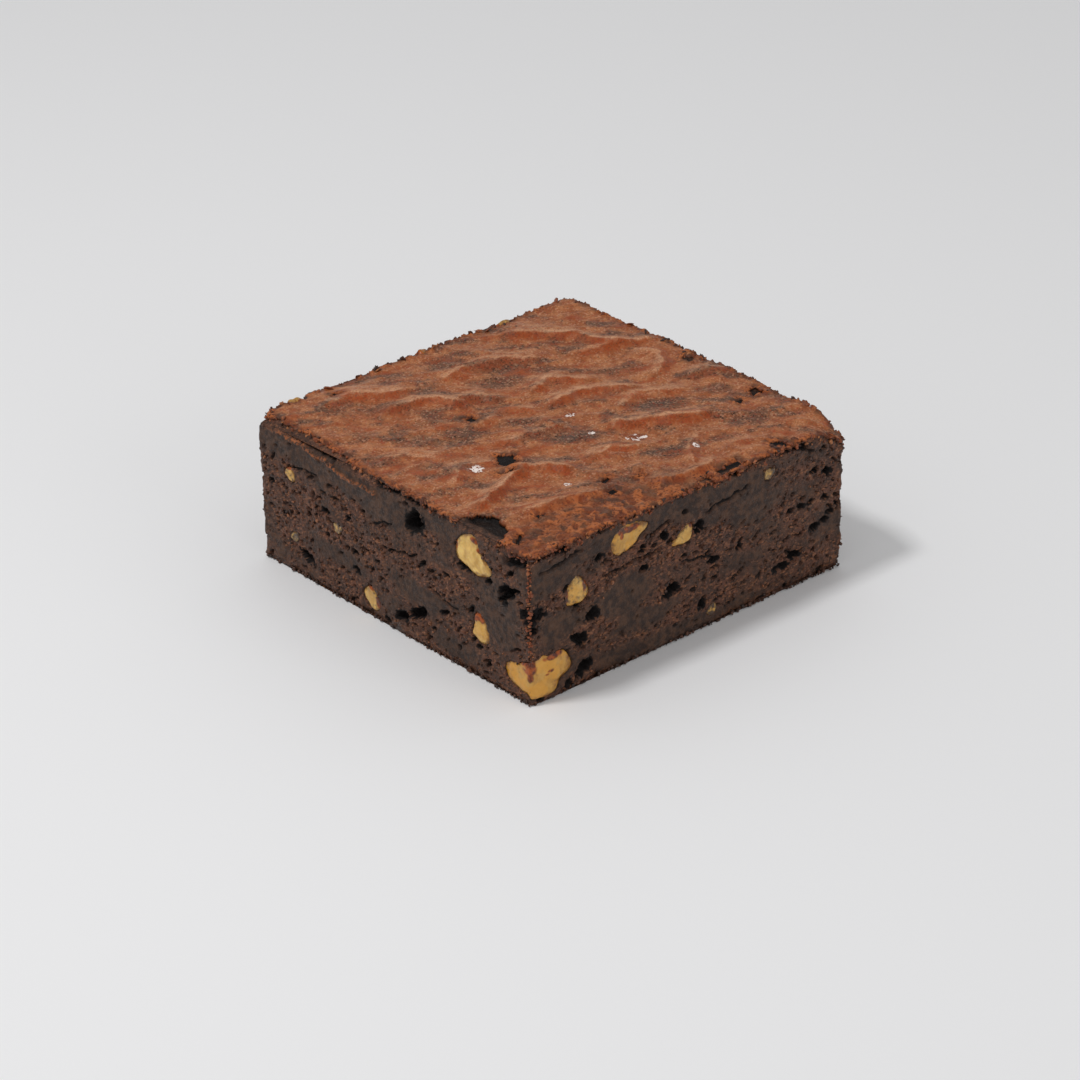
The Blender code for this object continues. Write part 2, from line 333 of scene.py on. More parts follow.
RIGHT_HOLLOWS = (
    (1.2, 18.6, 4.6, 3.0, -8, 2.6),
    (0.9, 15.4, 3.4, 1.4, 0, 1.8),
    (14.8, 13.6, 3.3, 2.7, 0, 2.6),
    (34.2, 11.6, 3.8, 2.8, 8, 2.8),
    (27.4, 18.2, 2.3, 1.8, 0, 2.0),
    (32.5, 23.6, 2.2, 1.8, 0, 1.8),
    (40.9, 22.3, 2.4, 2.7, 0, 2.0),
    (16.7, 24.6, 2.2, 1.5, 0, 1.8),
    (12.3, 9.6, 2.7, 2.2, 20, 2.0),
    (12.6, 3.3, 4.6, 3.2, 20, 2.4),
    (9.0, 1.8, 2.0, 1.6, 0, 1.4),
    (41.5, 5.4, 2.3, 2.2, 0, 2.0),
    (44.5, 13.8, 2.8, 1.6, 0, 1.8),
    (51.0, 14.2, 1.8, 1.4, 0, 1.5),
    (65.4, 6.6, 3.5, 2.1, -12, 2.3),
    (70.9, 10.9, 3.0, 1.8, 0, 2.0),
    (73.6, 12.0, 2.4, 1.3, 10, 1.5),
    (73.9, 22.8, 2.5, 2.0, 0, 2.0),
    (70.8, 23.3, 2.0, 1.5, 0, 1.5),
    (67.3, 16.4, 2.0, 1.4, 0, 1.4),
    (73.6, 16.9, 2.0, 1.3, 0, 1.4),
    (64.3, 16.4, 1.5, 1.1, 0, 1.1),
    (37.6, 26.5, 1.4, 0.9, 0, 1.1),
    (39.6, 9.6, 2.0, 0.9, 0, 1.2),
    (56.4, 5.8, 1.5, 1.0, 0, 1.2),
    (41.6, 18.0, 1.2, 0.6, 0, 0.9),
    (29.5, 25.0, 2.0, 0.7, 20, 1.0),
    (6.0, 8.6, 1.8, 0.7, 10, 0.9),
    (74.8, 15.0, 1.8, 0.8, 0, 1.1),
)
# Smooth fudgy patches: distance round the square, height, half width, half height.
SMOOTH_PATCHES = (
    (LEFT_START + 22.0, 25.8, 24.0, 2.8),
    (LEFT_START + 36.0, 24.6, 12.0, 3.2),
    (LEFT_START + 68.0, 16.0, 8.0, 8.0),
    (LEFT_START + 50.0, 27.0, 8.0, 2.5),
    (LEFT_START + 47.0, 10.5, 8.0, 3.0),
    (LEFT_START + 22.0, 9.0, 6.0, 2.5),
    (LEFT_START + 56.0, 3.5, 8.0, 2.0),
    (6.0, 24.0, 9.0, 4.0),
    (8.0, 14.0, 7.0, 5.0),
    (22.0, 14.0, 9.0, 4.0),
    (34.0, 27.0, 44.0, 2.8),
    (54.0, 22.0, 14.0, 4.0),
    (26.0, 7.6, 10.0, 2.6),
    (34.0, 2.0, 22.0, 2.2),
    (RUN_X + 30.0, 25.0, 30.0, 4.0),
    (RUN_X + 55.0, 10.0, 12.0, 4.0),
    (BACK_START + 30.0, 24.0, 26.0, 4.0),
    (BACK_START + 60.0, 12.0, 10.0, 6.0),
)
# Gaps that open under the crust, sunk in and painted dark as the shadow there: distance
# round, half length, height, half height, depth and slope.
GAPS = (
    (LEFT_START + 12.0, 11.0, 29.6, 0.6, 2.0, -0.11),
    (LEFT_START + 42.0, 8.0, 28.9, 0.5, 1.2, 0.0),
    (LEFT_START + 73.5, 3.5, 27.8, 1.0, 1.5, 0.1),
    (5.5, 5.5, 29.2, 0.7, 2.2, -0.03),
    (17.0, 3.0, 29.5, 0.55, 2.0, 0.03),
    (30.0, 6.0, 29.7, 0.3, 1.2, 0.0),
    (49.0, 5.5, 29.4, 0.6, 1.8, 0.0),
    (65.5, 4.0, 28.9, 0.7, 2.0, -0.16),
    (RUN_X + 20.0, 12.0, 28.8, 0.5, 1.3, 0.0),
    (RUN_X + 58.0, 9.0, 28.9, 0.45, 1.2, 0.05),
    (BACK_START + 22.0, 14.0, 28.8, 0.5, 1.3, 0.0),
    (BACK_START + 60.0, 8.0, 28.9, 0.5, 1.2, -0.05),
)
# Fine tears, painted dark as their shade: start and end along the square and in height, and depth.
TEARS = (
    (2.0, 26.0, 13.0, 27.2, 0.7),
    (17.6, 20.0, 32.0, 20.6, 0.9),
    (21.0, 24.6, 26.0, 22.6, 0.6),
    (28.0, 24.2, 34.5, 25.6, 0.7),
    (36.0, 16.2, 45.0, 14.6, 0.5),
    (42.0, 24.0, 54.0, 25.6, 0.5),
    (LEFT_START + 36.0, 16.2, LEFT_START + 47.0, 18.6, 0.7),
    (LEFT_START + 9.0, 22.4, LEFT_START + 18.0, 24.0, 0.6),
    (LEFT_START + 40.0, 22.6, LEFT_START + 33.0, 20.0, 0.5),
    (LEFT_START + 50.0, 13.0, LEFT_START + 58.0, 11.4, 0.5),
)


def turned(a, b, degrees):
    """Two distances as seen in axes turned anticlockwise: a cos + b sin and b cos - a sin."""
    c, d = math.cos(math.radians(degrees)), math.sin(math.radians(degrees))
    return a * c + b * d, b * c - a * d


def press(field, pore_shade, s, z, row, rough):
    """Sink one hollow into the wall: an ellipse with a ragged rim and steep sides, and
    painted shade in it that is darker the taller it is."""
    at_s, at_z, wide, tall, degrees, depth = row
    du = near(s, at_s)
    reach = 1.25 * max(wide, tall)
    hit_s = np.where(np.abs(du) < reach)[0]
    hit_z = np.where(np.abs(z - at_z) < reach)[0]
    if len(hit_s) == 0 or len(hit_z) == 0:
        return
    window = np.ix_(hit_s, hit_z)
    long_way, short_way = turned(du[hit_s][:, None], (z[hit_z] - at_z)[None, :], degrees)
    out = np.hypot(long_way / (wide / 2), short_way / (tall / 2))
    bowl = 1 - 0.3 * out.clip(0, 1)
    field[window] -= depth * ramp(out + 0.35 * rough[window], 1.02, 0.6) * bowl
    dark = min(1.0, 0.3 + 0.42 * tall)
    pore_shade[window] = np.maximum(pore_shade[window], dark * ramp(out + 0.6 * rough[window], 1.16, 0.98))


def spaced(length, size):
    """Even stops along a length, without its end."""
    count = max(2, round(length / size))
    return np.arange(count) * length / count


stops = np.concatenate([
    spaced(RUN_X, FINE),
    RUN_X + spaced(RUN_Y, COARSE),
    BACK_START + spaced(RUN_X, COARSE),
    LEFT_START + spaced(RUN_Y, FINE),
])
levels = np.arange(ROWS) / (ROWS - 1)
base, facing = wall_base(stops)
base_x, base_y = base[:, 0], base[:, 1]
rim_height = top_height(base_x, base_y) - CRUST_THICK * 0.8
# The foot lifts off the plate in places, most where the right face sagged.
foot = 0.35 * np.clip(drift(base_x, base_y, 0, 5.0, 21) + 0.1, 0, 1)
sagged = np.exp(-(near(stops, 60.0) / 9.0) ** 2)
foot = foot + sagged * (0.6 + 0.4 * drift(base_x, base_y, 0, 2.5, 22))
rise = foot[:, None] + (rim_height - foot)[:, None] * levels[None, :]
plain_z = TOP * levels
S = stops[:, None] + 0 * rise
X = base_x[:, None] + 0 * rise
Y = base_y[:, None] + 0 * rise

# Where the cake is fudgy and where it is airy, and how raggedly it tears.
smooth_patch = 0.6 * drift(X, Y, rise * 1.6, 9.0, 31) + 0.3 * drift(X, Y, rise * 1.5, 3.5, 32)
for at_s, at_z, half_s, half_z in SMOOTH_PATCHES:
    apart = np.hypot(near(S, at_s) / half_s, (rise - at_z) / half_z)
    smooth_patch = smooth_patch + 0.7 * ramp(apart, 1.25, 0.35)
fudge = ramp(smooth_patch + 0.16 * drift(X, Y, rise, 1.2, 46), -0.15, 0.6)
airy = 1 - fudge
ragged = 0.6 * drift(X, Y, rise, 1.3, 33) + 0.75 * drift(X, Y, rise, 0.62, 44)


def bulge(x, y, z):
    """The slow unevenness of the cut faces, in millimetres outwards."""
    return 0.5 * drift(x, y, z, 13.0, 34) + 0.2 * drift(x, y, z, 4.5, 35)


# Depth of the cut faces: crumbs and smaller grains stand out where the cake is airy.
field = bulge(X, Y, rise)
crumb_far, crumb_own = cells(X, Y, rise * 1.2, 1.05, 36)
grain_far, grain_own = cells(X, Y, rise * 1.15, 0.62, 37)
crumb_dome = (1 - 1.6 * crumb_far ** 2).clip(0, 1) * (0.25 + 0.75 * crumb_own)
grain_dome = (1 - 1.6 * grain_far ** 2).clip(0, 1) * (0.3 + 0.7 * grain_own)
field = field + airy * (0.15 * (crumb_dome - 0.35) + 0.16 * (grain_dome - 0.35))
field = field + fudge * (0.03 * (grain_dome - 0.4) + 0.05 * drift(X, Y, rise * 2.5, 2.0, 38))
# Painted shade in the gaps between crumbs where the cake is airy.
pore_shade = 0.3 * airy * ramp(crumb_dome + 0.6 * grain_dome, 0.22, 0.06)

# The hollows above, then many small pores where it is airy, and some hollows for the +X and
# +Y sides.
SMALL_PORES = 3000
HIDDEN_HOLLOWS = 60
chance = np.random.default_rng(5)
for row in LEFT_HOLLOWS:
    press(field, pore_shade, stops, plain_z, (LEFT_START + row[0],) + row[1:], ragged)
for row in RIGHT_HOLLOWS:
    press(field, pore_shade, stops, plain_z, row, ragged)
for number in range(SMALL_PORES):
    at_s = chance.uniform(0, PERIMETER)
    at_z = chance.uniform(0.4, 28.6)
    size = 0.36 + 0.24 * chance.exponential() * chance.uniform(0.2, 1.0)
    stretch = chance.uniform(1.0, 2.8)
    lean = chance.normal(24 if at_s > LEFT_START else 5, 22)
    column = np.argmin(np.abs(near(stops, at_s)))
    level = int(at_z / TOP * (ROWS - 1))
    if chance.uniform() > 0.07 + 0.93 * airy[column, level]:
        continue
    row = (at_s, at_z, size * stretch, size, lean, 0.35 + 0.9 * size)
    press(field, pore_shade, stops, plain_z, row, ragged)
for number in range(HIDDEN_HOLLOWS):
    at_s = chance.uniform(RUN_X + 2, LEFT_START - 2)
    wide = 1.3 + 1.0 * chance.exponential()
    at_z = chance.uniform(2, 27)
    tall = wide * chance.uniform(0.4, 0.8)
    row = (at_s, at_z, wide, tall, chance.normal(8, 25), 0.6 + 0.45 * wide)
    press(field, pore_shade, stops, plain_z, row, ragged)

# Gap heights are for a crust whose upper side is at PLAIN_CRUST.
PLAIN_CRUST = 30.2
# Each gap is sunk in and painted dark as the shadow under the crust.
for at_s, half, at_z, tall, depth, slope in GAPS:
    along = near(S, at_s)
    ends = ramp(np.abs(along) + 1.2 * ragged, half, half - 2.0)
    wander = at_z + slope * along - PLAIN_CRUST + rim_height[:, None] + CRUST_THICK
    wander = wander + 0.5 * drift(X, Y, 0, 3.0, 41) + 0.35 * drift(X, Y, 0, 1.2, 47)
    reach = tall * (1 + 0.5 * drift(X, Y, 0, 1.7, 48))
    away = np.abs(rise - wander)
    field -= depth * ends * ramp((away + 0.2 * ragged) / reach, 1.0, 0.5)
    pore_shade = np.maximum(pore_shade, ends * ramp((away + 0.3 * ragged) / reach, 1.15, 0.9))
# Each tear is sunk in and painted dark as its shade.
for s0, z0, s1, z1, depth in TEARS:
    t = np.clip(near(S, s0) / (s1 - s0), 0, 1)
    middle = z0 + (z1 - z0) * t + 0.6 * drift(X, Y, 0, 2.2, 42)
    fade = ramp(np.abs(near(S, (s0 + s1) / 2)), abs(s1 - s0) / 2, abs(s1 - s0) / 2 - 1.2)
    line = fade * ramp(np.abs(rise - middle) + 0.3 * ragged, 0.42, 0.1)
    field -= depth * line
    pore_shade = np.maximum(pore_shade, 0.9 * line)

# Hollows with a wet, shiny floor: distance round the square, height and reach.
WET_HOLLOWS = (
    (LEFT_START + 46.3, 23.9, 1.6),
    (LEFT_START + 69.8, 18.6, 1.3),
    (LEFT_START + 40.6, 1.9, 1.0),
    (LEFT_START + 59.3, 13.4, 0.7),
    (LEFT_START + 75.8, 14.2, 0.9),
    (12.4, 16.6, 1.3),
    (12.2, 3.0, 1.2),
)
gloss = np.zeros(S.shape)
for at_s, at_z, reach in WET_HOLLOWS:
    apart = np.hypot(near(S, at_s), rise - at_z) / reach
    gloss = np.maximum(gloss, ramp(apart + 0.4 * ragged, 1.1, 0.6))

# A torn edge of crust hangs down the left face in a line of flakes. Under the crust the
# cake draws back, and so do the foot and the far end of that edge.
flake_line = 28.9 - 0.085 * near(S, LEFT_START + 4).clip(0, 25)
flaky = ramp(np.abs(rise - flake_line - 0.4 * drift(X, Y, 0, 2.0, 43)) + 0.5 * ragged, 0.6, 0.15)
flaky = flaky * ramp(np.abs(near(S, LEFT_START + 20)) + 1.5 * ragged, 16.5, 13.5)
field += 0.4 * flaky
under_crust = ramp(rim_height[:, None] - rise + 0.4 * ragged, 1.0, 0.2)
field -= 0.3 * under_crust
field -= 0.6 * np.clip(1 - (rise - foot[:, None]) / 2.2, 0, 1) ** 2
field -= 1.2 * ramp(np.abs(near(S, LEFT_START + 8)), 26, 8) * ramp(rise, 28.4, 29.2)
corners = (0.0, RUN_X, BACK_START, LEFT_START)
corner_gap = np.min([np.abs(near(stops, at)) for at in corners], axis=0)
field += 0.35 * ramp(corner_gap, 3.0, 0.0)[:, None] * drift(X, Y, rise, 2.4, 45)

# Walnut pieces are cut through with the cake, so their outlines are needed for its hollows.
# They are given on the cut faces as a middle and points round it, each as distance along
# the face and height: from the back corner on the left face, and otherwise from the front edge.
OUTLINES = {
    "walnut_left_a": ((61.4, 25.0), (
        (66.8, 23.6), (65.6, 24.8), (64.6, 25.6), (63.2, 26.6), (62.9, 27.4), (62.2, 28.7), (61.2, 29.0),
        (59.6, 28.5), (58.2, 27.6), (56.9, 26.0), (56.6, 24.8), (57.2, 23.0), (58.6, 22.6), (60.2, 22.1),
        (61.5, 21.3), (62.8, 21.3), (64.8, 21.9), (66.3, 22.8))),
    "walnut_left_b": ((63.0, 10.2), (
        (65.2, 9.6), (64.9, 10.8), (64.3, 12.2), (63.4, 13.2), (62.2, 13.6), (61.3, 12.8), (61.5, 11.2),
        (61.0, 9.8), (60.4, 8.6), (61.5, 8.1), (62.2, 7.5), (63.4, 7.4), (64.6, 7.7), (65.1, 8.6))),
    "walnut_left_c": ((32.0, 4.0), (
        (34.8, 3.6), (34.0, 5.0), (32.8, 5.8), (31.4, 6.4), (30.2, 5.8), (29.3, 4.5), (29.6, 3.2),
        (30.9, 2.4), (31.8, 1.7), (33.0, 1.7), (34.0, 2.4))),
    "walnut_left_d": ((8.9, 21.2), (
        (10.2, 21.3), (9.8, 22.2), (9.0, 22.7), (8.0, 22.6), (7.2, 21.8), (7.2, 21.1), (8.0, 20.5),
        (9.2, 19.8), (10.1, 20.2))),
    "walnut_right_a": ((23.0, 25.8), (
        (28.6, 27.3), (27.6, 27.8), (26.0, 28.4), (24.0, 28.7), (22.0, 28.5), (20.6, 27.8), (19.6, 26.8),
        (19.3, 25.6), (19.8, 24.1), (21.0, 23.2), (22.6, 23.1), (24.2, 23.6), (25.3, 24.6), (26.2, 25.6),
        (27.4, 26.4))),
    "walnut_right_b": ((37.0, 21.7), (
        (39.2, 22.8), (38.8, 23.8), (37.6, 23.5), (36.6, 22.8), (35.2, 21.8), (34.0, 20.5), (34.3, 20.0),
        (35.6, 20.0), (37.2, 20.0), (38.2, 20.4), (38.8, 21.6))),
    "walnut_right_c": ((11.0, 19.6), (
        (13.8, 18.8), (13.5, 20.2), (12.6, 21.4), (11.4, 22.4), (10.6, 22.9), (9.3, 21.6), (8.6, 20.2),
        (8.4, 18.8), (8.8, 17.4), (9.8, 16.9), (10.8, 17.2), (12.2, 17.0), (13.2, 17.6))),
    "walnut_corner": ((0.8, 5.2), (
        (9.7, 5.8), (9.0, 7.2), (8.0, 8.6), (7.2, 9.2), (5.6, 9.0), (4.5, 8.7), (3.2, 9.3), (2.6, 9.5),
        (2.0, 9.0), (1.2, 8.7), (0.0, 9.2), (-0.9, 8.8), (-2.1, 8.3), (-3.1, 8.3), (-3.7, 7.6), (-4.9, 7.0),
        (-6.6, 7.3), (-7.4, 6.4), (-7.7, 5.0), (-6.5, 3.3), (-5.0, 2.8), (-3.5, 2.2), (-2.0, 2.4),
        (-0.9, 1.8), (0.0, 1.5), (2.0, 1.4), (4.0, 1.3), (5.2, 1.5), (5.5, 2.2), (6.0, 3.2), (6.8, 4.0),
        (8.4, 4.2), (9.6, 4.6))),
}
# Browned places where the skin is still on: along, up and half sizes from the middle.
SKINS = {
    "walnut_corner": (
        (-1.2, 3.0, 1.9, 3.4), (-3.4, 3.2, 2.2, 0.7), (4.6, 3.4, 2.6, 0.6), (3.4, 0.8, 0.9, 0.3),
        (2.6, 0.3, 0.6, 0.25)),
    "walnut_left_a": ((0.8, 3.1, 1.3, 0.6), (2.4, 1.6, 1.6, 0.4), (-4.4, 0.6, 0.4, 1.2)),
    "walnut_left_b": ((-0.3, 2.6, 1.8, 1.4),),
    "walnut_left_c": ((2.2, -0.1, 0.9, 2.0), (0.0, 2.2, 1.4, 0.5)),
    "walnut_left_d": ((-0.4, 1.4, 1.6, 0.4),),
    "walnut_right_a": ((0.3, 1.9, 2.8, 0.75), (-1.2, 0.9, 0.5, 0.6)),
    "walnut_right_b": ((1.6, 1.6, 0.9, 0.8),),
    "walnut_right_c": ((1.9, 0.9, 0.7, 1.4), (-2.4, 0.0, 0.3, 2.0)),
    "walnut_rim_a": ((0.0, 0.8, 3.0, 1.0),),
    "walnut_rim_b": ((0.4, 0.8, 2.0, 1.2),),
    "walnut_rim_c": ((0.0, 0.6, 4.0, 1.2),),
}
# How far each is smeared with chocolate, how deep it lies and how far it is toasted.
SMEARED = {
    "walnut_corner": (0.0, 0.0, 0.62),
    "walnut_left_a": (0.0, -0.05, 0.05),
    "walnut_left_b": (0.12, 0.05, 0.3),
    "walnut_left_c": (0.15, 0.05, 0.25),
    "walnut_left_d": (0.25, 0.05, 0.3),
    "walnut_left_e": (0.34, 0.0, 0.2),
    "walnut_left_f": (0.38, 0.0, 0.2),
    "walnut_right_a": (0.13, -0.02, 0.55),
    "walnut_right_b": (0.14, 0.05, 0.4),
    "walnut_right_c": (0.22, 0.0, 0.4),
    "walnut_right_d": (0.36, 0.0, 0.3),
    "walnut_right_e": (0.4, 0.0, 0.3),
    "walnut_rim_a": (0.0, 0.0, 0.2),
    "walnut_rim_b": (0.0, 0.0, 0.2),
    "walnut_rim_c": (0.0, 0.0, 0.2),
}
# The three at the back rim stand up out of the crust by this much.
RIM_LIFT = 1.3


# What brings the outlines' own measures to the wall's, along it and in height.
OUTLINE_SHIFT = 0.4
OUTLINE_SHRINK = 0.988


def kernel_place(name):
    """Middle of a kernel's cut as distance round the square and height, and half sizes."""
    lowest, highest = (np.array(corner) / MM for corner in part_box(name))
    middle, half = (lowest + highest) / 2, (highest - lowest) / 2
    start = LEFT_START if "left" in name else 0.0
    if name in OUTLINES:
        along, up = OUTLINES[name][0]
        return start + along + OUTLINE_SHIFT, up * OUTLINE_SHRINK, half[0], half[2]
    if "left" in name:
        return start + HALF_Y - middle[1], middle[2], half[1], half[2]
    if "rim" in name:
        return BACK_START + HALF_X - middle[0], middle[2] + RIM_LIFT, half[0], half[2]
    return middle[0] + HALF_X, middle[2], half[0], half[2]


def kernel_radius(name, angle):
    """Distance from a kernel's middle to its outline: through the measured points, or an
    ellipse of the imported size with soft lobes."""
    lobes = drift(np.cos(angle), np.sin(angle), 0, 0.9, len(name) + ord(name[-1]))
    if name not in OUTLINES:
        lobes = 1 + 0.35 * lobes
        half_s, half_z = kernel_place(name)[2:]
        return lobes / np.hypot(np.cos(angle) / half_s, np.sin(angle) / half_z)
    (along, up), points = OUTLINES[name]
    du, dz = (np.array(points) - (along, up)).T
    turn = np.arctan2(dz, du)
    reach = np.hypot(du, dz)
    softened = [np.interp(angle + shift, turn, reach, period=2 * math.pi) for shift in (-0.09, 0, 0.09)]
    return (1 + 0.05 * lobes) * np.mean(softened, axis=0)


# Each kernel lies in a pocket in the crumb, painted dark as the pocket's shade, less where the kernel is
# smeared.
for name, (film, lies, toast) in SMEARED.items():
    at_s, at_z = kernel_place(name)[:2]
    du, dz = near(S, at_s), rise - at_z
    depth_in = kernel_radius(name, np.arctan2(dz, du)) - np.hypot(du, dz)
    bed = ramp(depth_in + 0.22 * ragged, -0.06, 0.2)
    bed_depth = -0.5 if film > 0.3 else -1.1
    field = field * (1 - bed) + bed * bed_depth
    pore_shade = pore_shade * (1 - bed) + bed * max(0.0, 0.9 - 2.2 * film)

# The wall: plan position plus depth along the outward normal.
wall = np.stack([X + facing[:, 0][:, None] * field, Y + facing[:, 1][:, None] * field, rise], -1)
count_s, count_z = rise.shape
index = np.arange(count_s * count_z).reshape(count_s, count_z)
right_index = np.roll(index, -1, axis=0)
wall_faces = np.stack([index[:, :-1], right_index[:, :-1], right_index[:, 1:], index[:, 1:]], -1)


def cap(edge_points, edge_index, inner_xy, inner_z, first_free, upward):
    """Triangles that close a ring of wall points, through free points inside it."""
    ring = [tuple(point[:2]) for point in edge_points]
    flat = ring + [tuple(point) for point in inner_xy]
    edges = [(i, (i + 1) % len(ring)) for i in range(len(ring))]
    found = delaunay_2d_cdt(flat, edges, [], 1, 1e-6, True)
    verts, faces, source = found[0], found[2], found[3]
    number = {}
    extra = []
    for place, origins in enumerate(source):
        if origins and origins[0] < len(ring):
            number[place] = int(edge_index[origins[0]])
            continue
        number[place] = first_free + len(extra)
        height = inner_z[origins[0] - len(ring)] if origins else 0.0
        extra.append((verts[place][0], verts[place][1], height))
    triangles = []
    for face in faces:
        corners = [number[i] for i in face]
        (ax, ay), (bx, by), (cx, cy) = (verts[i] for i in face[:3])
        turns = (bx - ax) * (cy - ay) - (by - ay) * (cx - ax)
        triangles.append(corners if (turns > 0) == upward else corners[::-1])
    return extra, triangles


def inner_grid(size, margin):
    """Points of a slightly shaken grid well inside the wall's ring."""
    xs = np.arange(-HALF_X + margin, HALF_X - margin, size)
    ys = np.arange(-HALF_Y + margin, HALF_Y - margin, size)
    gx, gy = np.meshgrid(xs, ys)
    shake = np.random.default_rng(8).uniform(-0.2, 0.2, (2,) + gx.shape) * size
    return np.stack([gx + shake[0], gy + shake[1]], -1).reshape(-1, 2)


# The place at the left rim where the crust broke out: middle and half sizes.
BITE = (0.6, 14.0, 5.0, 5.5)


def bite_depth(x, y):
    """1 well inside the broken-out place at the -X edge, 0 outside it."""
    u, v = x + HALF_X, y + HALF_Y
    apart = np.hypot((u - BITE[0]) / BITE[2], (v - BITE[1]) / BITE[3])
    return ramp(apart + 0.16 * drift(x, y, 0, 2.2, 51), 1.05, 0.9)


top_inner = inner_grid(1.15, 4.2)
by_bite = (top_inner[:, 0] < -HALF_X + 7.2) & (np.abs(top_inner[:, 1] + HALF_Y - 13) < 7.4)
bite_grid = np.stack(np.meshgrid(np.arange(3.0, 7.0, 0.42), np.arange(6.0, 20.0, 0.42)), -1)
bite_grid = bite_grid.reshape(-1, 2) - np.array([HALF_X, HALF_Y])
top_inner = np.concatenate([top_inner[~by_bite], bite_grid])
inner_x, inner_y = top_inner[:, 0], top_inner[:, 1]
under_z = top_height(inner_x, inner_y) - CRUST_THICK * 0.75
under_z = under_z - bite_depth(inner_x, inner_y) + 0.15 * drift(inner_x, inner_y, 0, 0.9, 52)
bottom_inner = inner_grid(3.0, 5.0)
flat_z = np.zeros(len(bottom_inner))

extra_top, faces_top = cap(wall[:, -1], index[:, -1], top_inner, under_z, index.size, True)
first_low = index.size + len(extra_top)
extra_low, faces_low = cap(wall[:, 0], index[:, 0], bottom_inner, flat_z, first_low, False)
crumb_points = np.concatenate([wall.reshape(-1, 3), np.array(extra_top), np.array(extra_low)])
crumb_faces = wall_faces.reshape(-1, 4).tolist() + faces_top + faces_low
crumb_tint = airy * (0.6 * crumb_own * crumb_dome + 0.8 * grain_own * grain_dome)
extra_x, extra_y = np.array(extra_top + extra_low)[:, :2].T
in_bite = bite_depth(extra_x, extra_y)
# The cap's points are painted dark as the shade under the crust, seen through its holes, and a little less
# in the broken-out place.
crumb = make_piece("crumb", crumb_points, crumb_faces, {
    "pore_shade": np.concatenate([pore_shade.ravel(), 1.0 - 0.35 * in_bite]),
    "fudge": np.concatenate([fudge.ravel(), np.full(len(in_bite), 0.8)]),
    "flake": np.concatenate([flaky.ravel(), np.zeros(len(in_bite))]),
    "gloss": np.concatenate([gloss.ravel(), 0.5 * in_bite]),
    "tint": np.concatenate([crumb_tint.ravel(), np.zeros(len(in_bite))])})
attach(crumb, "root")
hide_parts("cake")


def linear(code):
    """A colour socket's value from an sRGB hex code."""
    parts = [int(code[i:i + 2], 16) / 255 for i in (1, 3, 5)]
    return tuple(c / 12.92 if c <= 0.04045 else ((c + 0.055) / 1.055) ** 2.4 for c in parts) + (1.0,)


def plug(tree, node, inputs):
    """Each input of a node, by name or place, set to a value or linked to a socket."""
    for key, value in inputs:
        if isinstance(value, bpy.types.NodeSocket):
            tree.links.new(value, node.inputs[key])
        else:
            node.inputs[key].default_value = value


def add(tree, kind, inputs=(), out=0, **settings):
    """One shader node with its settings and inputs; gives the output asked for."""
    made = tree.nodes.new("ShaderNode" + kind)
    for key, value in settings.items():
        setattr(made, key, value)
    plug(tree, made, inputs.items() if isinstance(inputs, dict) else enumerate(inputs))
    return made.outputs[out]


def new_material(name, *painted):
    """A principled material: itself, its tree, its shader, the piece's own coordinates, and
    the values painted on the piece's points."""
    made = bpy.data.materials.new(name)
    made.use_nodes = True
    tree = made.node_tree
    where = add(tree, "TexCoord", out="Object")
    values = [add(tree, "Attribute", out="Fac", attribute_name=key) for key in painted]
    return made, tree, tree.nodes["Principled BSDF"], where, *values


SOFT = {"interpolation_type": "SMOOTHSTEP"}
TIMES = {"operation": "MULTIPLY"}
TIMES_PLUS = {"operation": "MULTIPLY_ADD"}


def mottle(tree, where, size_mm, *limits, detail=2.0, rough=0.55, twist=0.0):
    """Cloudy patches about size_mm across: smooth noise, which limits cut with soft edges.
    They are where it starts and ends, and what it gives there if that isn't 0 and 1."""
    cloud = add(tree, "TexNoise", {
        "Vector": where, "Scale": 1.0 / (size_mm * MM), "Detail": detail, "Roughness": rough,
        "Distortion": twist}, "Fac")
    return add(tree, "MapRange", (cloud, *limits), **SOFT) if limits else cloud


def speckle(tree, where, size_mm):
    """Packed grains about size_mm across, each with its own random value from 0 to 1."""
    grains = add(tree, "TexVoronoi", {"Vector": where, "Scale": 1.0 / (size_mm * MM)}, "Color")
    return add(tree, "SeparateColor", (grains,), "Red")


def coated(tree, base, *coats):
    """A colour under coats laid on in turn, each as the share it hides and its colour."""
    for share, coat in coats:
        under, over = (linear(tone) if isinstance(tone, str) else tone for tone in (base, coat))
        base = add(tree, "Mix", {0: share, 6: under, 7: over}, 2, data_type="RGBA")
    return base


def weighed(tree, total, *parts):
    """A value plus others, each times its weight."""
    for part, weight in parts:
        total = add(tree, "Math", (part, weight, total), **TIMES_PLUS)
    return total


# Baked chocolate crumb: dark, grey-brown and slightly greasy where it is fudge,
# redder and mat where it tore, with painted highlights on some crumbs and painted
# shade in its pores, gaps and tears.
crumb_mat, tree, shader, where, pore_shade_at, fudge_at, flake_at, tint_at, gloss_at = new_material(
    "baked_chocolate_crumb", "pore_shade", "fudge", "flake", "tint", "gloss")
# The knife drew the crumb along: small marks lean and are twice as long as they are tall.
drawn = add(tree, "Mapping", {
    "Vector": where, "Rotation": (math.radians(-24), 0, 0), "Scale": (2.0, 2.0, 1.0)},
    vector_type="TEXTURE")
airy_at = add(tree, "Math", (1.0, fudge_at), operation="SUBTRACT")
blotches = mottle(tree, where, 1.3, 0.36, 0.66, detail=4.0)
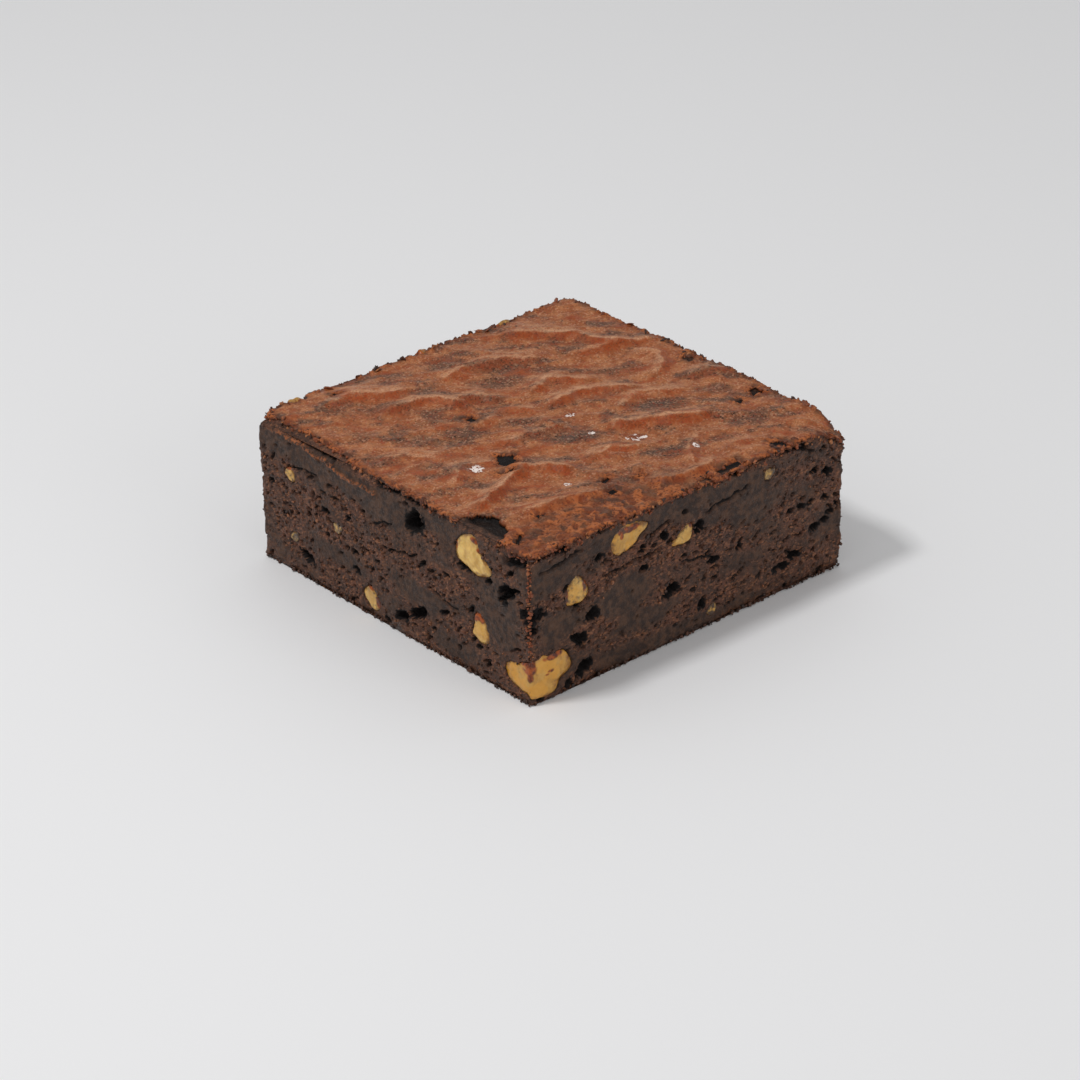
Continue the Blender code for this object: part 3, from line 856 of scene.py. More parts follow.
# Small and tiny pores are sunk into the bump, and their dark coats below are painted shade.
small_pore = weighed(tree, mottle(tree, drawn, 0.55, detail=3.0, rough=0.6), (airy_at, 0.1))
small_pore = add(tree, "MapRange", (small_pore, 0.69, 0.75, 0.0, 0.8), **SOFT)
tiny_pore = mottle(tree, drawn, 0.24, 0.6, 0.68)
crumb_tone = speckle(tree, drawn, 0.3)
flake_share = add(tree, "Math", (flake_at, mottle(tree, where, 0.6, 0.42, 0.58, detail=3.0)), **TIMES)
# Painted highlights: tiny pale spots where airy crumbs would catch the light.
glint = mottle(tree, where, 0.26, 0.69, 0.75, 0.0, 0.55, detail=1.0)
fudge_colour = coated(tree, "#2d1c14", (blotches, "#523726"))
torn_colour = coated(
    tree, "#41281c",
    (blotches, "#5c3828"),
    (add(tree, "MapRange", (tint_at, 0.15, 0.6, 0.0, 0.6), **SOFT), "#744732"),
    (add(tree, "MapRange", (crumb_tone, 0.7, 0.95, 0.0, 0.7), **SOFT), "#94603f"),
    (add(tree, "Math", (tiny_pore, 0.75), **TIMES), "#160d0a"))
# The last coats are painted shade, in small pores and in the hollows, gaps and tears marked on the wall.
colour = coated(
    tree, torn_colour,
    (fudge_at, fudge_colour),
    (add(tree, "Math", (mottle(tree, where, 5.0, 0.38, 0.62, detail=3.0), 0.25), **TIMES), "#33231b"),
    (flake_share, "#96562f"),
    (add(tree, "Math", (glint, airy_at), **TIMES), "#c09070"),
    (small_pore, "#1a0f0b"),
    (add(tree, "MapRange", (pore_shade_at, 0.2, 0.8), **SOFT), "#100908"))
roughness = mottle(tree, where, 0.5, 0.36, 0.7, 0.6, 0.36)
roughness = weighed(tree, roughness, (gloss_at, -0.28), (pore_shade_at, 0.35))
relief = weighed(
    tree, mottle(tree, where, 0.3),
    (crumb_tone, 0.35),
    (small_pore, -1.6),
    (add(tree, "Math", (tiny_pore, airy_at), **TIMES), -0.9),
    (add(tree, "Math", (mottle(tree, where, 0.6), gloss_at), **TIMES), 6.0))
bump = add(tree, "Bump", {"Height": relief, "Strength": 0.8, "Distance": 0.0002})
plug(tree, shader, (("Base Color", colour), ("Roughness", roughness), ("IOR", 1.36), ("Normal", bump)))
crumb.data.materials.append(crumb_mat)

# ---------------------------------------------------------------------------
# Walnut pieces: broken kernels stirred into the batter and cut through with the
# cake. Each shows a smooth pale face with some brown skin left at its edges.
# ---------------------------------------------------------------------------


def make_kernel(name):
    """A kernel as a pillow laid in the wall: inside its outline the front follows the cut
    face, p + n h, and the back is that front drawn k (1 - q^2)^0.5 of the way towards a
    point inside the cake, where q runs from 0 in the middle to 1 at the outline."""
    at_s, at_z, half_s, half_z = kernel_place(name)
    film, lies, toast = SMEARED[name]
    seed = 100 + len(name) + 3 * ord(name[-1])
    rings, spokes = (30, 120) if max(half_s, half_z) > 3 else (18, 72)
    share = (np.arange(rings) + 1) / rings
    Q, T = np.meshgrid(share ** 0.85, np.arange(spokes) / spokes * 2 * math.pi, indexing="ij")
    reach = kernel_radius(name, T) * Q
    Q = np.append(Q.ravel(), 0.0)
    s = at_s + np.append((reach * np.cos(T)).ravel(), 0.0)
    z = (at_z + np.append((reach * np.sin(T)).ravel(), 0.0)).clip(0.5, HIGHEST)
    place, outward = wall_base(s)
    x, y = place.T
    out = bulge(x, y, z) - lies + 0.04 - 0.3 * ramp(Q, 0.72, 1.0) ** 2
    out = out + 0.16 * drift(x, y, z, 2.4, seed) + 0.05 * drift(x, y, z, 0.8, seed)
    front = np.column_stack([place + outward * out[:, None], z])
    middle, inward = wall_base(np.array([at_s]))
    inside = np.append(middle[0] - 5.0 * inward[0], at_z)
    if "corner" in name:
        inside = np.array([-HALF_X + 4.0, -HALF_Y + 4.0, at_z])
    back = front + (inside - front) * 0.5 * np.sqrt(1 - Q ** 2)[:, None]
    keep = np.append(np.arange((rings - 1) * spokes), rings * spokes)
    points = np.concatenate([front, back[keep]])
    grid = np.arange(rings * spokes).reshape(rings, spokes)
    behind = np.concatenate([grid[:-1] + rings * spokes + 1, grid[-1:]])
    faces = []
    for sheet, tip, order in ((grid, rings * spokes, 1), (behind, len(points) - 1, -1)):
        after = np.roll(sheet, -1, axis=1)
        quads = np.stack([sheet[:-1], sheet[1:], after[1:], after[:-1]], -1).reshape(-1, 4)
        fan = np.stack([np.full(spokes, tip), sheet[0], after[0]], -1)
        faces += quads[:, ::order].tolist() + fan[:, ::order].tolist()
    skin = np.zeros(len(s))
    for along, up, wide, tall in SKINS.get(name, ()):
        apart = np.hypot((s - at_s - along) / wide, (z - at_z - up) / tall)
        skin = np.maximum(skin, ramp(apart + 0.4 * drift(x, y, z, 1.0, seed + 1), 1.1, 0.7))
    return make_piece(name + "_kernel", points, faces, {
        "skin": np.append(skin, skin[keep]),
        "edge": np.append(Q, Q[keep]),
        "film": np.full(len(points), film),
        "toast": np.full(len(points), toast)})


# Cut and baked walnut: waxy and pale gold, darker where it toasted, with brown skin, faint
# veins, a dark line round it, and a smear of chocolate on the ones that lie deeper.
kernel_mat, tree, shader, where, skin_at, film_at, toast_at, edge_at = new_material(
    "cut_walnut_kernel", "skin", "film", "toast", "edge")
rim_share = weighed(tree, edge_at, (mottle(tree, where, 1.0, detail=3.0), 0.9))
rim_share = add(tree, "MapRange", (rim_share, 1.14, 1.55), **SOFT)
flesh = coated(
    tree, "#c3984a",
    (mottle(tree, where, 1.8, 0.3, 0.7, detail=3.0, twist=0.5), "#ebc470"),
    (add(tree, "Math", (mottle(tree, where, 2.6, 0.52, 0.74, detail=3.0), 0.45), **TIMES), "#c28a35"),
    (toast_at, "#ab7220"),
    (add(tree, "Math", (rim_share, 0.85), **TIMES), "#7d4a1a"),
    (add(tree, "Math", (mottle(tree, where, 3.4, 0.45, 0.6), toast_at), **TIMES), "#d99a35"))
skin_colour = coated(tree, "#561f02", (mottle(tree, where, 0.9, 0.4, 0.62, detail=3.0), "#a14a02"))
smear = weighed(tree, mottle(tree, where, 0.8, detail=4.0), (edge_at, 0.2), (film_at, 1.0))
smear = add(tree, "MapRange", (smear, 0.74, 1.1), **SOFT)
colour = coated(tree, flesh, (skin_at, skin_colour), (smear, "#48362a"))
height = mottle(tree, where, 0.5, detail=3.0)
bump = add(tree, "Bump", {"Height": height, "Strength": 0.35, "Distance": 0.0001})
plug(tree, shader, (
    ("Base Color", colour),
    ("Roughness", 0.3),
    ("IOR", 1.45),
    ("Subsurface Weight", 0.12),
    ("Subsurface Radius", (0.0014, 0.0008, 0.0003)),
    ("Subsurface Scale", 1.0),
    ("Normal", bump)))

for name in SMEARED:
    kernel = make_kernel(name)
    kernel.data.materials.append(kernel_mat)
    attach(kernel, "root")
    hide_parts(name)

# ---------------------------------------------------------------------------
# Crust: the thin shiny top that sugar makes as it bakes, as dry as paper. It
# wrinkles as the cake sinks, and breaks into a ragged edge under the knife.
# ---------------------------------------------------------------------------
CRUST_CELL = 0.36
CRUST_REACH = 0.6
crust_x = np.arange(-HALF_X - CRUST_REACH, HALF_X + CRUST_REACH, CRUST_CELL)
crust_y = np.arange(-HALF_Y - CRUST_REACH, HALF_Y + CRUST_REACH, CRUST_CELL)
GX, GY = np.meshgrid(crust_x, crust_y, indexing="ij")


def crust_edge(x, y):
    """Distance inside the crust's ragged outline: positive on the crust."""
    ragged = 0.5 * drift(x, y, 0, 1.6, 61) + 0.4 * drift(x, y, 0, 4.0, 62) + 0.25 * drift(x, y, 0, 0.8, 63)
    back_left = 1.5 * ramp(y, -6, 26) * ramp(-x, 20, 37)
    inside_x = HALF_X + 0.15 - np.abs(x) - np.where(x < 0, back_left, 0)
    inside_y = HALF_Y + 0.15 - np.abs(y)
    for name in ("walnut_rim_a", "walnut_rim_b", "walnut_rim_c"):
        at_s, at_z, half_s, half_z = kernel_place(name)
        notch = 1.2 * np.exp(-((x - HALF_X - BACK_START + at_s) / half_s) ** 2)
        inside_y = inside_y - np.where(y > 0, notch, 0)
    round_off = 2.0
    dx = np.maximum(round_off - inside_x, 0)
    dy = np.maximum(round_off - inside_y, 0)
    in_corner = (dx > 0) & (dy > 0)
    straight = np.minimum(inside_x, inside_y)
    return np.where(in_corner, round_off - np.hypot(dx, dy), straight) + ragged


def hole(x, y, at_u, at_v, wide, tall, degrees, seed):
    """Distance into a hole with straight broken sides: positive inside it."""
    a, b = turned(x + HALF_X - at_u, y + HALF_Y - at_v, degrees)
    return np.minimum(wide / 2 - np.abs(a), tall / 2 - np.abs(b)) + 0.15 * drift(x, y, 0, 0.8, seed)


# Holes: middle from the -X and -Y sides, width, tallness, turn in degrees, seed.
HOLES = (
    (21.6, 30.9, 3.3, 3.7, -34.0, 71),
    (27.4, 47.6, 1.5, 2.6, -12.0, 72),
    (35.2, 9.2, 1.6, 1.0, 20.0, 73),
    (27.4, 8.4, 1.6, 1.4, 0.0, 74),
    (29.6, 12.9, 2.8, 0.9, 14.0, 75),
    (11.6, 10.2, 1.6, 0.7, -10.0, 76),
    (75.0, 20.6, 2.0, 2.2, 0.0, 77),
    (69.8, 19.7, 1.8, 1.2, 20.0, 78),
    (18.2, 26.6, 2.6, 0.6, -24.0, 79),
    (62.8, 2.2, 3.0, 2.2, -30.0, 80),
    (50.0, 1.6, 6.4, 1.8, 4.0, 81),
    (43.2, 1.0, 2.6, 1.6, -20.0, 82),
    (75.6, 40.0, 1.6, 2.0, 30.0, 83),
    (15.0, 73.0, 1.2, 0.9, 0.0, 84),
    (3.6, 6.6, 3.4, 0.9, 38.0, 85),
)
# Dull grey patches where the crust lies close over the fudge: middle from the -X and -Y
# sides, half sizes, turn in degrees and strength.
GREY_PATCHES = (
    (38.6, 69.4, 4.2, 2.8, -20, 0.8),
    (19.0, 62.2, 4.4, 2.0, -25, 0.8),
    (15.5, 47.5, 4.6, 2.6, -30, 0.7),
    (23.0, 43.5, 4.8, 2.2, -25, 0.85),
    (22.0, 52.0, 4.0, 2.0, -30, 0.6),
    (42.0, 56.5, 5.6, 2.6, -30, 0.75),
    (52.5, 55.5, 3.4, 1.8, -30, 0.6),
    (37.0, 29.4, 5.8, 2.6, -28, 1.0),
    (57.5, 29.0, 7.0, 2.4, -28, 1.0),
    (45.4, 13.6, 5.4, 2.4, -28, 1.0),
    (28.8, 24.8, 3.6, 1.6, -28, 0.9),
    (33.0, 40.5, 4.6, 1.8, -30, 0.7),
    (61.0, 46.0, 4.8, 2.0, -35, 0.7),
    (66.5, 13.0, 5.0, 2.4, -30, 0.8),
    (57.0, 11.0, 3.6, 1.8, -30, 0.7),
    (10.0, 37.0, 4.0, 1.8, -25, 0.6),
    (8.0, 56.0, 3.6, 2.2, -20, 0.5),
    (70.0, 26.5, 4.0, 2.0, -30, 0.7),
    (29.0, 71.0, 4.0, 1.6, -20, 0.5),
    (12.0, 26.0, 4.4, 1.4, -25, 0.7),
)
# Places where syrup came through and set glossy: along, across and reach.
WET_SPOTS = (
    (14.8, 31.4, 1.9),
    (42.3, 36.6, 1.4),
    (45.6, 21.8, 2.4),
    (40.6, 28.8, 1.0),
    (51.0, 11.4, 1.2),
    (23.6, 16.4, 1.0),
)


def four(grid):
    """A grid's values at the four corners of each of its cells, in order round the cell."""
    return grid[:-1, :-1], grid[1:, :-1], grid[1:, 1:], grid[:-1, 1:]


solid = crust_edge(GX, GY)
for row in HOLES:
    solid = np.minimum(solid, -hole(GX, GY, *row))
solid = np.minimum(solid, 8.0 * (0.5 - bite_depth(GX, GY)))
# A cell is kept where the crust is whole in its middle.
keep_cell = sum(four(solid)) / 4 > 0
# Cells that touch the rest at one corner only would pinch the shell, so they go.
for turns in range(3):
    a, b, c, d = four(np.pad(keep_cell, 1))
    pinch = (a & c & ~b & ~d) | (b & d & ~a & ~c)
    keep_cell = keep_cell & ~np.any(four(pinch), axis=0)

# Each wrinkle has a pale back slope, painted sheen, and an orange forward slope, painted
# shade that also takes in random orange streaks. They follow the slope of the relief,
# smoothed, and are drawn stronger along the folds and broken up into streaks.
soft = wrinkles(GX, GY)
for turns in range(6):
    around = np.pad(soft, 1, mode="edge")
    soft = (around[:-2, 1:-1] + around[2:, 1:-1] + around[1:-1, :-2] + around[1:-1, 2:]) / 4
steep_x, steep_y = np.gradient(soft, CRUST_CELL)
slope = 0.45 * steep_x + 0.9 * steep_y
flank_shade_and_streaks = ramp(slope + 0.06 * drift(GX, GY, 0, 1.6, 86), 0.14, 0.5)
lee_sheen = 0.6 * ramp(-slope, 0.05, 0.3)
bent_u, bent_v = bent(GX, GY)
streak_x = (GX * WAVE_COS - GY * WAVE_SIN) / 2.0
streak_y = GX * WAVE_SIN + GY * WAVE_COS + 0.8 * drift(GX, GY, 0, 5.0, 95)
broken_up = 0.5 * drift(streak_x, streak_y, 0, 1.9, 93) + 0.45 * drift(GX, GY, 0, 1.1, 94)
for points, rise, half_width in FOLDS:
    apart = from_line(bent_u, bent_v, points) + 0.5 * drift(GX, GY, 0, 1.8, 88)
    share = min(1.0, 0.4 + 0.5 * rise)
    reach = half_width * (1 + 0.9 * broken_up)
    flank_shade_and_streaks = np.maximum(flank_shade_and_streaks, share * ramp(apart, -0.1, 0.4) * ramp(apart, 1.5 * reach, 0.4 * reach))
    lee_sheen = np.maximum(lee_sheen, share * ramp(apart, 0.25, -0.1) * ramp(apart, -1.2 * reach, -0.2 * reach))
flank_shade_and_streaks = flank_shade_and_streaks * (0.75 + 0.6 * broken_up).clip(0, 1)
streaks = drift(streak_x, streak_y, 0, 2.9, 96) + 0.5 * broken_up
flank_shade_and_streaks = np.maximum(flank_shade_and_streaks, 0.75 * ramp(streaks, 0.15, 0.75))
lee_sheen = lee_sheen * (0.8 - 0.8 * broken_up).clip(0, 1)
grey = 0.85 * ramp(drift(streak_x, streak_y, 0, 3.6, 89) + 0.9 * broken_up, -0.1, 0.65)
for at_u, at_v, half_u, half_v, degrees, depth in GREY_PATCHES:
    a, b = turned(bent_u - at_u, bent_v - at_v, degrees)
    apart = np.hypot(a / half_u, b / half_v)
    apart = apart + 0.35 * drift(GX, GY, 0, 2.4, 91) - 0.5 * broken_up
    grey = np.maximum(grey, depth * ramp(apart, 1.4, 0.4))
grey = grey * (1 - 0.7 * flank_shade_and_streaks) * (1 - 0.5 * lee_sheen)
gloss = np.zeros(GX.shape)
for at_u, at_v, reach in WET_SPOTS:
    apart = np.hypot(GX + HALF_X - at_u, (GY + HALF_Y - at_v) * 1.3) / reach
    gloss = np.maximum(gloss, ramp(apart + 0.4 * drift(GX, GY, 0, 1.0, 87), 1.1, 0.5))

# Near its edge, and in a zone by the front of the right face, the crust is shattered into
# shards that lie at their own heights.
ragged_zone = 0.85 * ramp(np.hypot((GX + HALF_X - 18) / 30, (GY + HALF_Y - 3) / 10), 1.2, 0.4)
edge_near = np.maximum(ramp(solid, 2.0, 0.2), ragged_zone)
shard_own = cells(GX, GY, 0, 1.5, 66)[1]
crust_top = top_height(GX, GY) + 0.02 * drift(GX, GY, 0, 1.3, 64)
crust_top = crust_top + edge_near * (0.42 * (shard_own - 0.5) + 0.3 * drift(GX, GY, 0, 1.0, 70))
crust_top = np.minimum(crust_top - 0.2 * ramp(solid, 0.7, 0.0), HIGHEST)
crust_low = crust_top - CRUST_THICK * (0.9 + 0.4 * drift(GX, GY, 0, 1.8, 67))

# The shell: an upper and a lower sheet over the kept cells, joined by a strip wherever a
# kept cell has no kept cell beyond it.
used = np.zeros(GX.shape, bool)
for corner in four(used):
    corner |= keep_cell
number = np.cumsum(used.ravel()).reshape(GX.shape) - 1
total = int(used.sum())
slip_x = 0.10 * drift(GX, GY, 0, 0.8, 68)
slip_y = 0.10 * drift(GX, GY, 0, 0.8, 69)
top_points = np.stack([GX + slip_x, GY + slip_y, crust_top], -1)[used]
low_points = np.stack([GX + slip_x, GY + slip_y, crust_low], -1)[used]
sheet = np.stack(four(number), -1)[keep_cell]
crust_faces = [sheet, sheet[:, ::-1] + total]
padded = np.pad(keep_cell, 1)
sides = (
    ((0, 0), (1, 0), padded[1:-1, :-2]),
    ((1, 0), (1, 1), padded[2:, 1:-1]),
    ((1, 1), (0, 1), padded[1:-1, 2:]),
    ((0, 1), (0, 0), padded[:-2, 1:-1]),
)
for (a0, a1), (b0, b1), beyond in sides:
    ei, ej = np.nonzero(keep_cell & ~beyond)
    p, q = number[ei + a0, ej + a1], number[ei + b0, ej + b1]
    crust_faces.append(np.stack([q, p, p + total, q + total], -1))
painted = {
    "broken": edge_near, "flank_shade_and_streaks": flank_shade_and_streaks, "lee_sheen": lee_sheen, "gloss": gloss, "grey": grey, "shard": shard_own}
crust_values = {key: np.tile(value[used], 2) for key, value in painted.items()}
crust_values["under"] = np.repeat([0.0, 1.0], total)
crust_points = np.concatenate([top_points, low_points])
crust = make_piece("crust", crust_points, np.concatenate(crust_faces).tolist(), crust_values)
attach(crust, "root")

# Papery baked crust: satin on its upper side, tan with painted pale sheen on the crests
# and back slopes and painted orange shade on the forward slopes, grey-brown and peppered
# with dark specks in the hollows, painted white glints on the wet spots, and rust-brown
# where it is broken.
crust_mat, tree, shader, where, broken_at, flank_shade_and_streaks_at, lee_sheen_at, gloss_at, grey_at, shard_at, under_at = (
    new_material("papery_baked_crust", "broken", "flank_shade_and_streaks", "lee_sheen", "gloss", "grey", "shard", "under"))
cloud = mottle(tree, where, 2.8, detail=3.0, rough=0.45)
# The peppering of a real crust is finer: these are the smallest grains that still show.
speck = speckle(tree, where, 0.28)
fleck = speckle(tree, where, 0.33)
# Tan, lifted toward pale as painted sheen on the crests and back slopes.
tan = coated(
    tree, "#92522e",
    (add(tree, "MapRange", (cloud, 0.36, 0.64), **SOFT), "#a96b43"),
    (add(tree, "Math", (lee_sheen_at, 0.95), **TIMES), "#c8946f"))
shard_colour = coated(
    tree, "#6a3014",
    (add(tree, "MapRange", (shard_at, 0.1, 0.9), **SOFT), "#ad6030"),
    (add(tree, "MapRange", (cloud, 0.5, 0.62), **SOFT), "#45271a"),
    (add(tree, "MapRange", (fleck, 0.35, 0.1, 0.0, 0.8), **SOFT), "#331a10"))
orange_share = add(tree, "MapRange", (speck, 0.0, 1.0, 0.7, 1.0), **SOFT)
grey_share = add(tree, "MapRange", (speck, 0.0, 0.8, 0.55, 1.0), **SOFT)
dark_speck = add(tree, "MapRange", (speck, 0.4, 0.0), **SOFT)
dark_share = add(tree, "MapRange", (grey_at, 0.0, 0.7, 0.4, 0.95), **SOFT)
light_speck = add(tree, "MapRange", (fleck, 0.7, 1.0, 0.0, 0.3), **SOFT)
light_share = add(tree, "Math", (1.0, flank_shade_and_streaks_at), operation="SUBTRACT")
# Sparkle: painted highlights, white specks that stand in for glints on the wet spots.
sparkle = weighed(tree, mottle(tree, where, 1.3), (fleck, 0.25))
sparkle = add(tree, "MapRange", (sparkle, 0.62, 0.68, 0.0, 0.9), **SOFT)
wet_share = add(tree, "MapRange", (gloss_at, 0.3, 0.8), **SOFT)
# Deep orange on the forward slopes is painted shade together with orange streaks; grey, pepper, pale
# flecks, shards, wet spots and the underside follow.
colour = coated(
    tree, tan,
    (add(tree, "Math", (flank_shade_and_streaks_at, orange_share), **TIMES), "#933a07"),
    (add(tree, "Math", (grey_at, grey_share), **TIMES), "#48382f"),
    (add(tree, "Math", (dark_speck, dark_share), **TIMES), "#2f1a10"),
    (add(tree, "Math", (light_speck, light_share), **TIMES), "#dca888"),
    (add(tree, "MapRange", (fleck, 0.2, 0.0, 0.0, 0.5), **SOFT), "#93351a"),
    (add(tree, "Math", (broken_at, 0.85), **TIMES), shard_colour),
    (add(tree, "Math", (gloss_at, 0.6), **TIMES), "#6a2c12"),
    (add(tree, "Math", (sparkle, wet_share), **TIMES), "#fff2ea"),
    (under_at, "#4e2d1f"))
roughness = mottle(tree, where, 1.5, 0.3, 0.7, 0.42, 0.62, detail=3.0)
roughness = weighed(tree, roughness, (gloss_at, -0.32))
wet_ripple = add(tree, "Math", (mottle(tree, where, 0.6), gloss_at), **TIMES)
stipple = weighed(tree, mottle(tree, where, 0.34, rough=0.6), (wet_ripple, 7.0))
bump = add(tree, "Bump", {"Height": cloud, "Strength": 0.5, "Distance": 0.0002})
bump = add(tree, "Bump", {"Height": stipple, "Strength": 0.45, "Distance": 0.0001, "Normal": bump})
plug(tree, shader, (
    ("Base Color", colour),
    ("Roughness", roughness),
    ("IOR", 1.3),
    ("Sheen Weight", 0.05),
    ("Sheen Roughness", 0.4),
    ("Sheen Tint", linear("#e8b088")),
    ("Normal", bump)))
crust.data.materials.append(crust_mat)

# ---------------------------------------------------------------------------
# Crumbs: what the knife tears loose and leaves hanging on the cut sides and round
# the foot, and the shattered bits of crust along the top and front edges.
# ---------------------------------------------------------------------------
BIT_ROUNDS = 7
BIT_BANDS = 4
# Crumbs stay within these corners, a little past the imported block.
BITS_LOW = low - (1.1, 1.1, 0.0)
BITS_HIGH = high + (1.1, 1.1, 0.85)


def make_bits(name, centres, sizes, tint, seed, upright=False):
    """Many small lumps as one mesh: for each, a coarse sphere on a grid of two angles,
    stretched three ways, dented by random radii and turned at random."""
    chance = np.random.default_rng(seed)
    theta = np.arange(BIT_ROUNDS) / BIT_ROUNDS * 2 * math.pi
    phi = (np.arange(BIT_BANDS) + 1) / (BIT_BANDS + 1) * math.pi
    T, F = np.meshgrid(theta, phi, indexing="ij")
    unit = np.stack([np.sin(F) * np.cos(T), np.sin(F) * np.sin(T), np.cos(F)], -1).reshape(-1, 3)
    unit = np.concatenate([unit, [[0, 0, 1.0], [0, 0, -1.0]]])
    count, each = len(centres), len(unit)
    radii = chance.uniform(0.68, 1.25, (count, each, 1))
    shape = unit[None] * radii * np.asarray(sizes)[:, None, :] / 2
    span = np.asarray(sizes).max(axis=1, keepdims=True) * 0.62
    centres = np.clip(centres, BITS_LOW + span, BITS_HIGH - span)
    turns, _ = np.linalg.qr(chance.normal(size=(count, 3, 3)))
    turns[np.linalg.det(turns) < 0] *= -1
    if upright:
        turns = np.repeat(np.eye(3)[None], count, axis=0)
    points = np.einsum("nij,nvj->nvi", turns, shape) + centres[:, None, :]
    last = BIT_ROUNDS * BIT_BANDS
    grid = np.arange(last).reshape(BIT_ROUNDS, BIT_BANDS)
    after = np.roll(grid, -1, axis=0)
    quads = np.stack([grid[:, :-1], grid[:, 1:], after[:, 1:], after[:, :-1]], -1).reshape(-1, 4)
    upper = np.stack([np.full(BIT_ROUNDS, last), grid[:, 0], after[:, 0]], -1)
    lower = np.stack([np.full(BIT_ROUNDS, last + 1), after[:, -1], grid[:, -1]], -1)
    offset = (np.arange(count) * each)[:, None, None]
    faces = (quads[None] + offset).reshape(-1, 4).tolist()
    faces += (upper[None] + offset).reshape(-1, 3).tolist() + (lower[None] + offset).reshape(-1, 3).tolist()
    return make_piece(name, points.reshape(-1, 3), faces, {"tint": np.repeat(tint, each)})


WALL_CRUMBS = 1700
RIM_CRUMBS = 1500
RIM_FLAKES = 150
EDGE_CRUMBS = 110
FOOT_CRUMBS = 750

# On the cut sides, mostly where the cake is airy and rough.
chance = np.random.default_rng(31)
flat_wall = wall.reshape(-1, 3)
outward = np.repeat(np.concatenate([facing, np.zeros((count_s, 1))], 1), count_z, axis=0)
likely = (airy * (1 - pore_shade) ** 2 * (0.15 + crumb_dome)).ravel() * (flat_wall[:, 2] > 0.5)
spacing = np.repeat(np.where((stops < RUN_X) | (stops > LEFT_START), FINE, COARSE), count_z)
likely = likely * spacing
chosen = chance.choice(len(flat_wall), WALL_CRUMBS, replace=False, p=likely / likely.sum())
bit_size = 0.28 + 0.16 * chance.exponential(size=WALL_CRUMBS).clip(0, 3)
bit_place = flat_wall[chosen] + outward[chosen] * (bit_size * 0.12)[:, None]
bit_size = bit_size[:, None] * chance.uniform(0.6, 1.25, (WALL_CRUMBS, 3))
wall_bits = make_bits("wall_crumbs", bit_place, bit_size, chance.uniform(0, 1, WALL_CRUMBS), 32)

# Along the top edges, on the crust's rim and hanging just under it.
past_side = np.maximum(np.abs(GX) - HALF_X, np.abs(GY) - HALF_Y)
rim_cells = np.argwhere(used & (solid < 0.9) & (solid > -0.4) & (past_side > -2.4))
ri, rj = rim_cells[chance.choice(len(rim_cells), RIM_CRUMBS)].T
rim_size = 0.3 + 0.26 * chance.exponential(size=RIM_CRUMBS).clip(0, 3)
drop = chance.uniform(0.0, 1.4, RIM_CRUMBS)
rim_place = np.stack([GX[ri, rj], GY[ri, rj], crust_top[ri, rj] - drop], -1)
rim_size = rim_size[:, None] * chance.uniform(0.6, 1.25, (RIM_CRUMBS, 3))
rim_bits = make_bits("rim_crumbs", rim_place, rim_size, chance.uniform(0, 1, RIM_CRUMBS), 33)

# Thin flakes of crust standing off the rim, and the one that sticks up at the back.
ri, rj = rim_cells[chance.choice(len(rim_cells), RIM_FLAKES, replace=False)].T
drop = chance.uniform(0.0, 0.5, RIM_FLAKES)
flake_place = np.stack([GX[ri, rj], GY[ri, rj], crust_top[ri, rj] - drop], -1)
flake_size = 0.7 + 0.6 * chance.exponential(size=RIM_FLAKES).clip(0, 2)
flake_size = flake_size[:, None] * np.array([1.2, 0.9, 0.22])
rim_flakes = make_bits("rim_flakes", flake_place, flake_size, chance.uniform(0, 1, RIM_FLAKES), 34)
spike_place = [[-11.0, 37.9, 30.6], [-10.7, 38.0, 30.2]]
spike_size = [[1.0, 0.5, 2.3], [1.3, 0.8, 1.6]]
spike = make_bits("rim_spike", spike_place, spike_size, [0.0, 0.1], 35, upright=True)

# Crumbs caught along the front edge, and the ones round the foot.
place, facing_out = wall_base(chance.normal(0.0, 0.28, EDGE_CRUMBS))
edge_place = np.column_stack([place + facing_out * 0.1, chance.uniform(9.5, 29.0, EDGE_CRUMBS)])
edge_size = 0.3 + 0.16 * chance.exponential(size=EDGE_CRUMBS).clip(0, 3)
edge_size = edge_size[:, None] * chance.uniform(0.6, 1.25, (EDGE_CRUMBS, 3))
edge_bits = make_bits("edge_crumbs", edge_place, edge_size, chance.uniform(0.3, 1, EDGE_CRUMBS), 36)
place, facing_out = wall_base(chance.uniform(0, PERIMETER, FOOT_CRUMBS))
foot_size = 0.32 + 0.2 * chance.exponential(size=FOOT_CRUMBS).clip(0, 3)
place = place + facing_out * chance.uniform(-0.6, 0.1, FOOT_CRUMBS)[:, None]
foot_place = np.column_stack([place, foot_size * 0.6])
foot_size = foot_size[:, None] * chance.uniform(0.6, 1.1, (FOOT_CRUMBS, 3))
foot_bits = make_bits("foot_crumbs", foot_place, foot_size, chance.uniform(0, 0.85, FOOT_CRUMBS), 37)

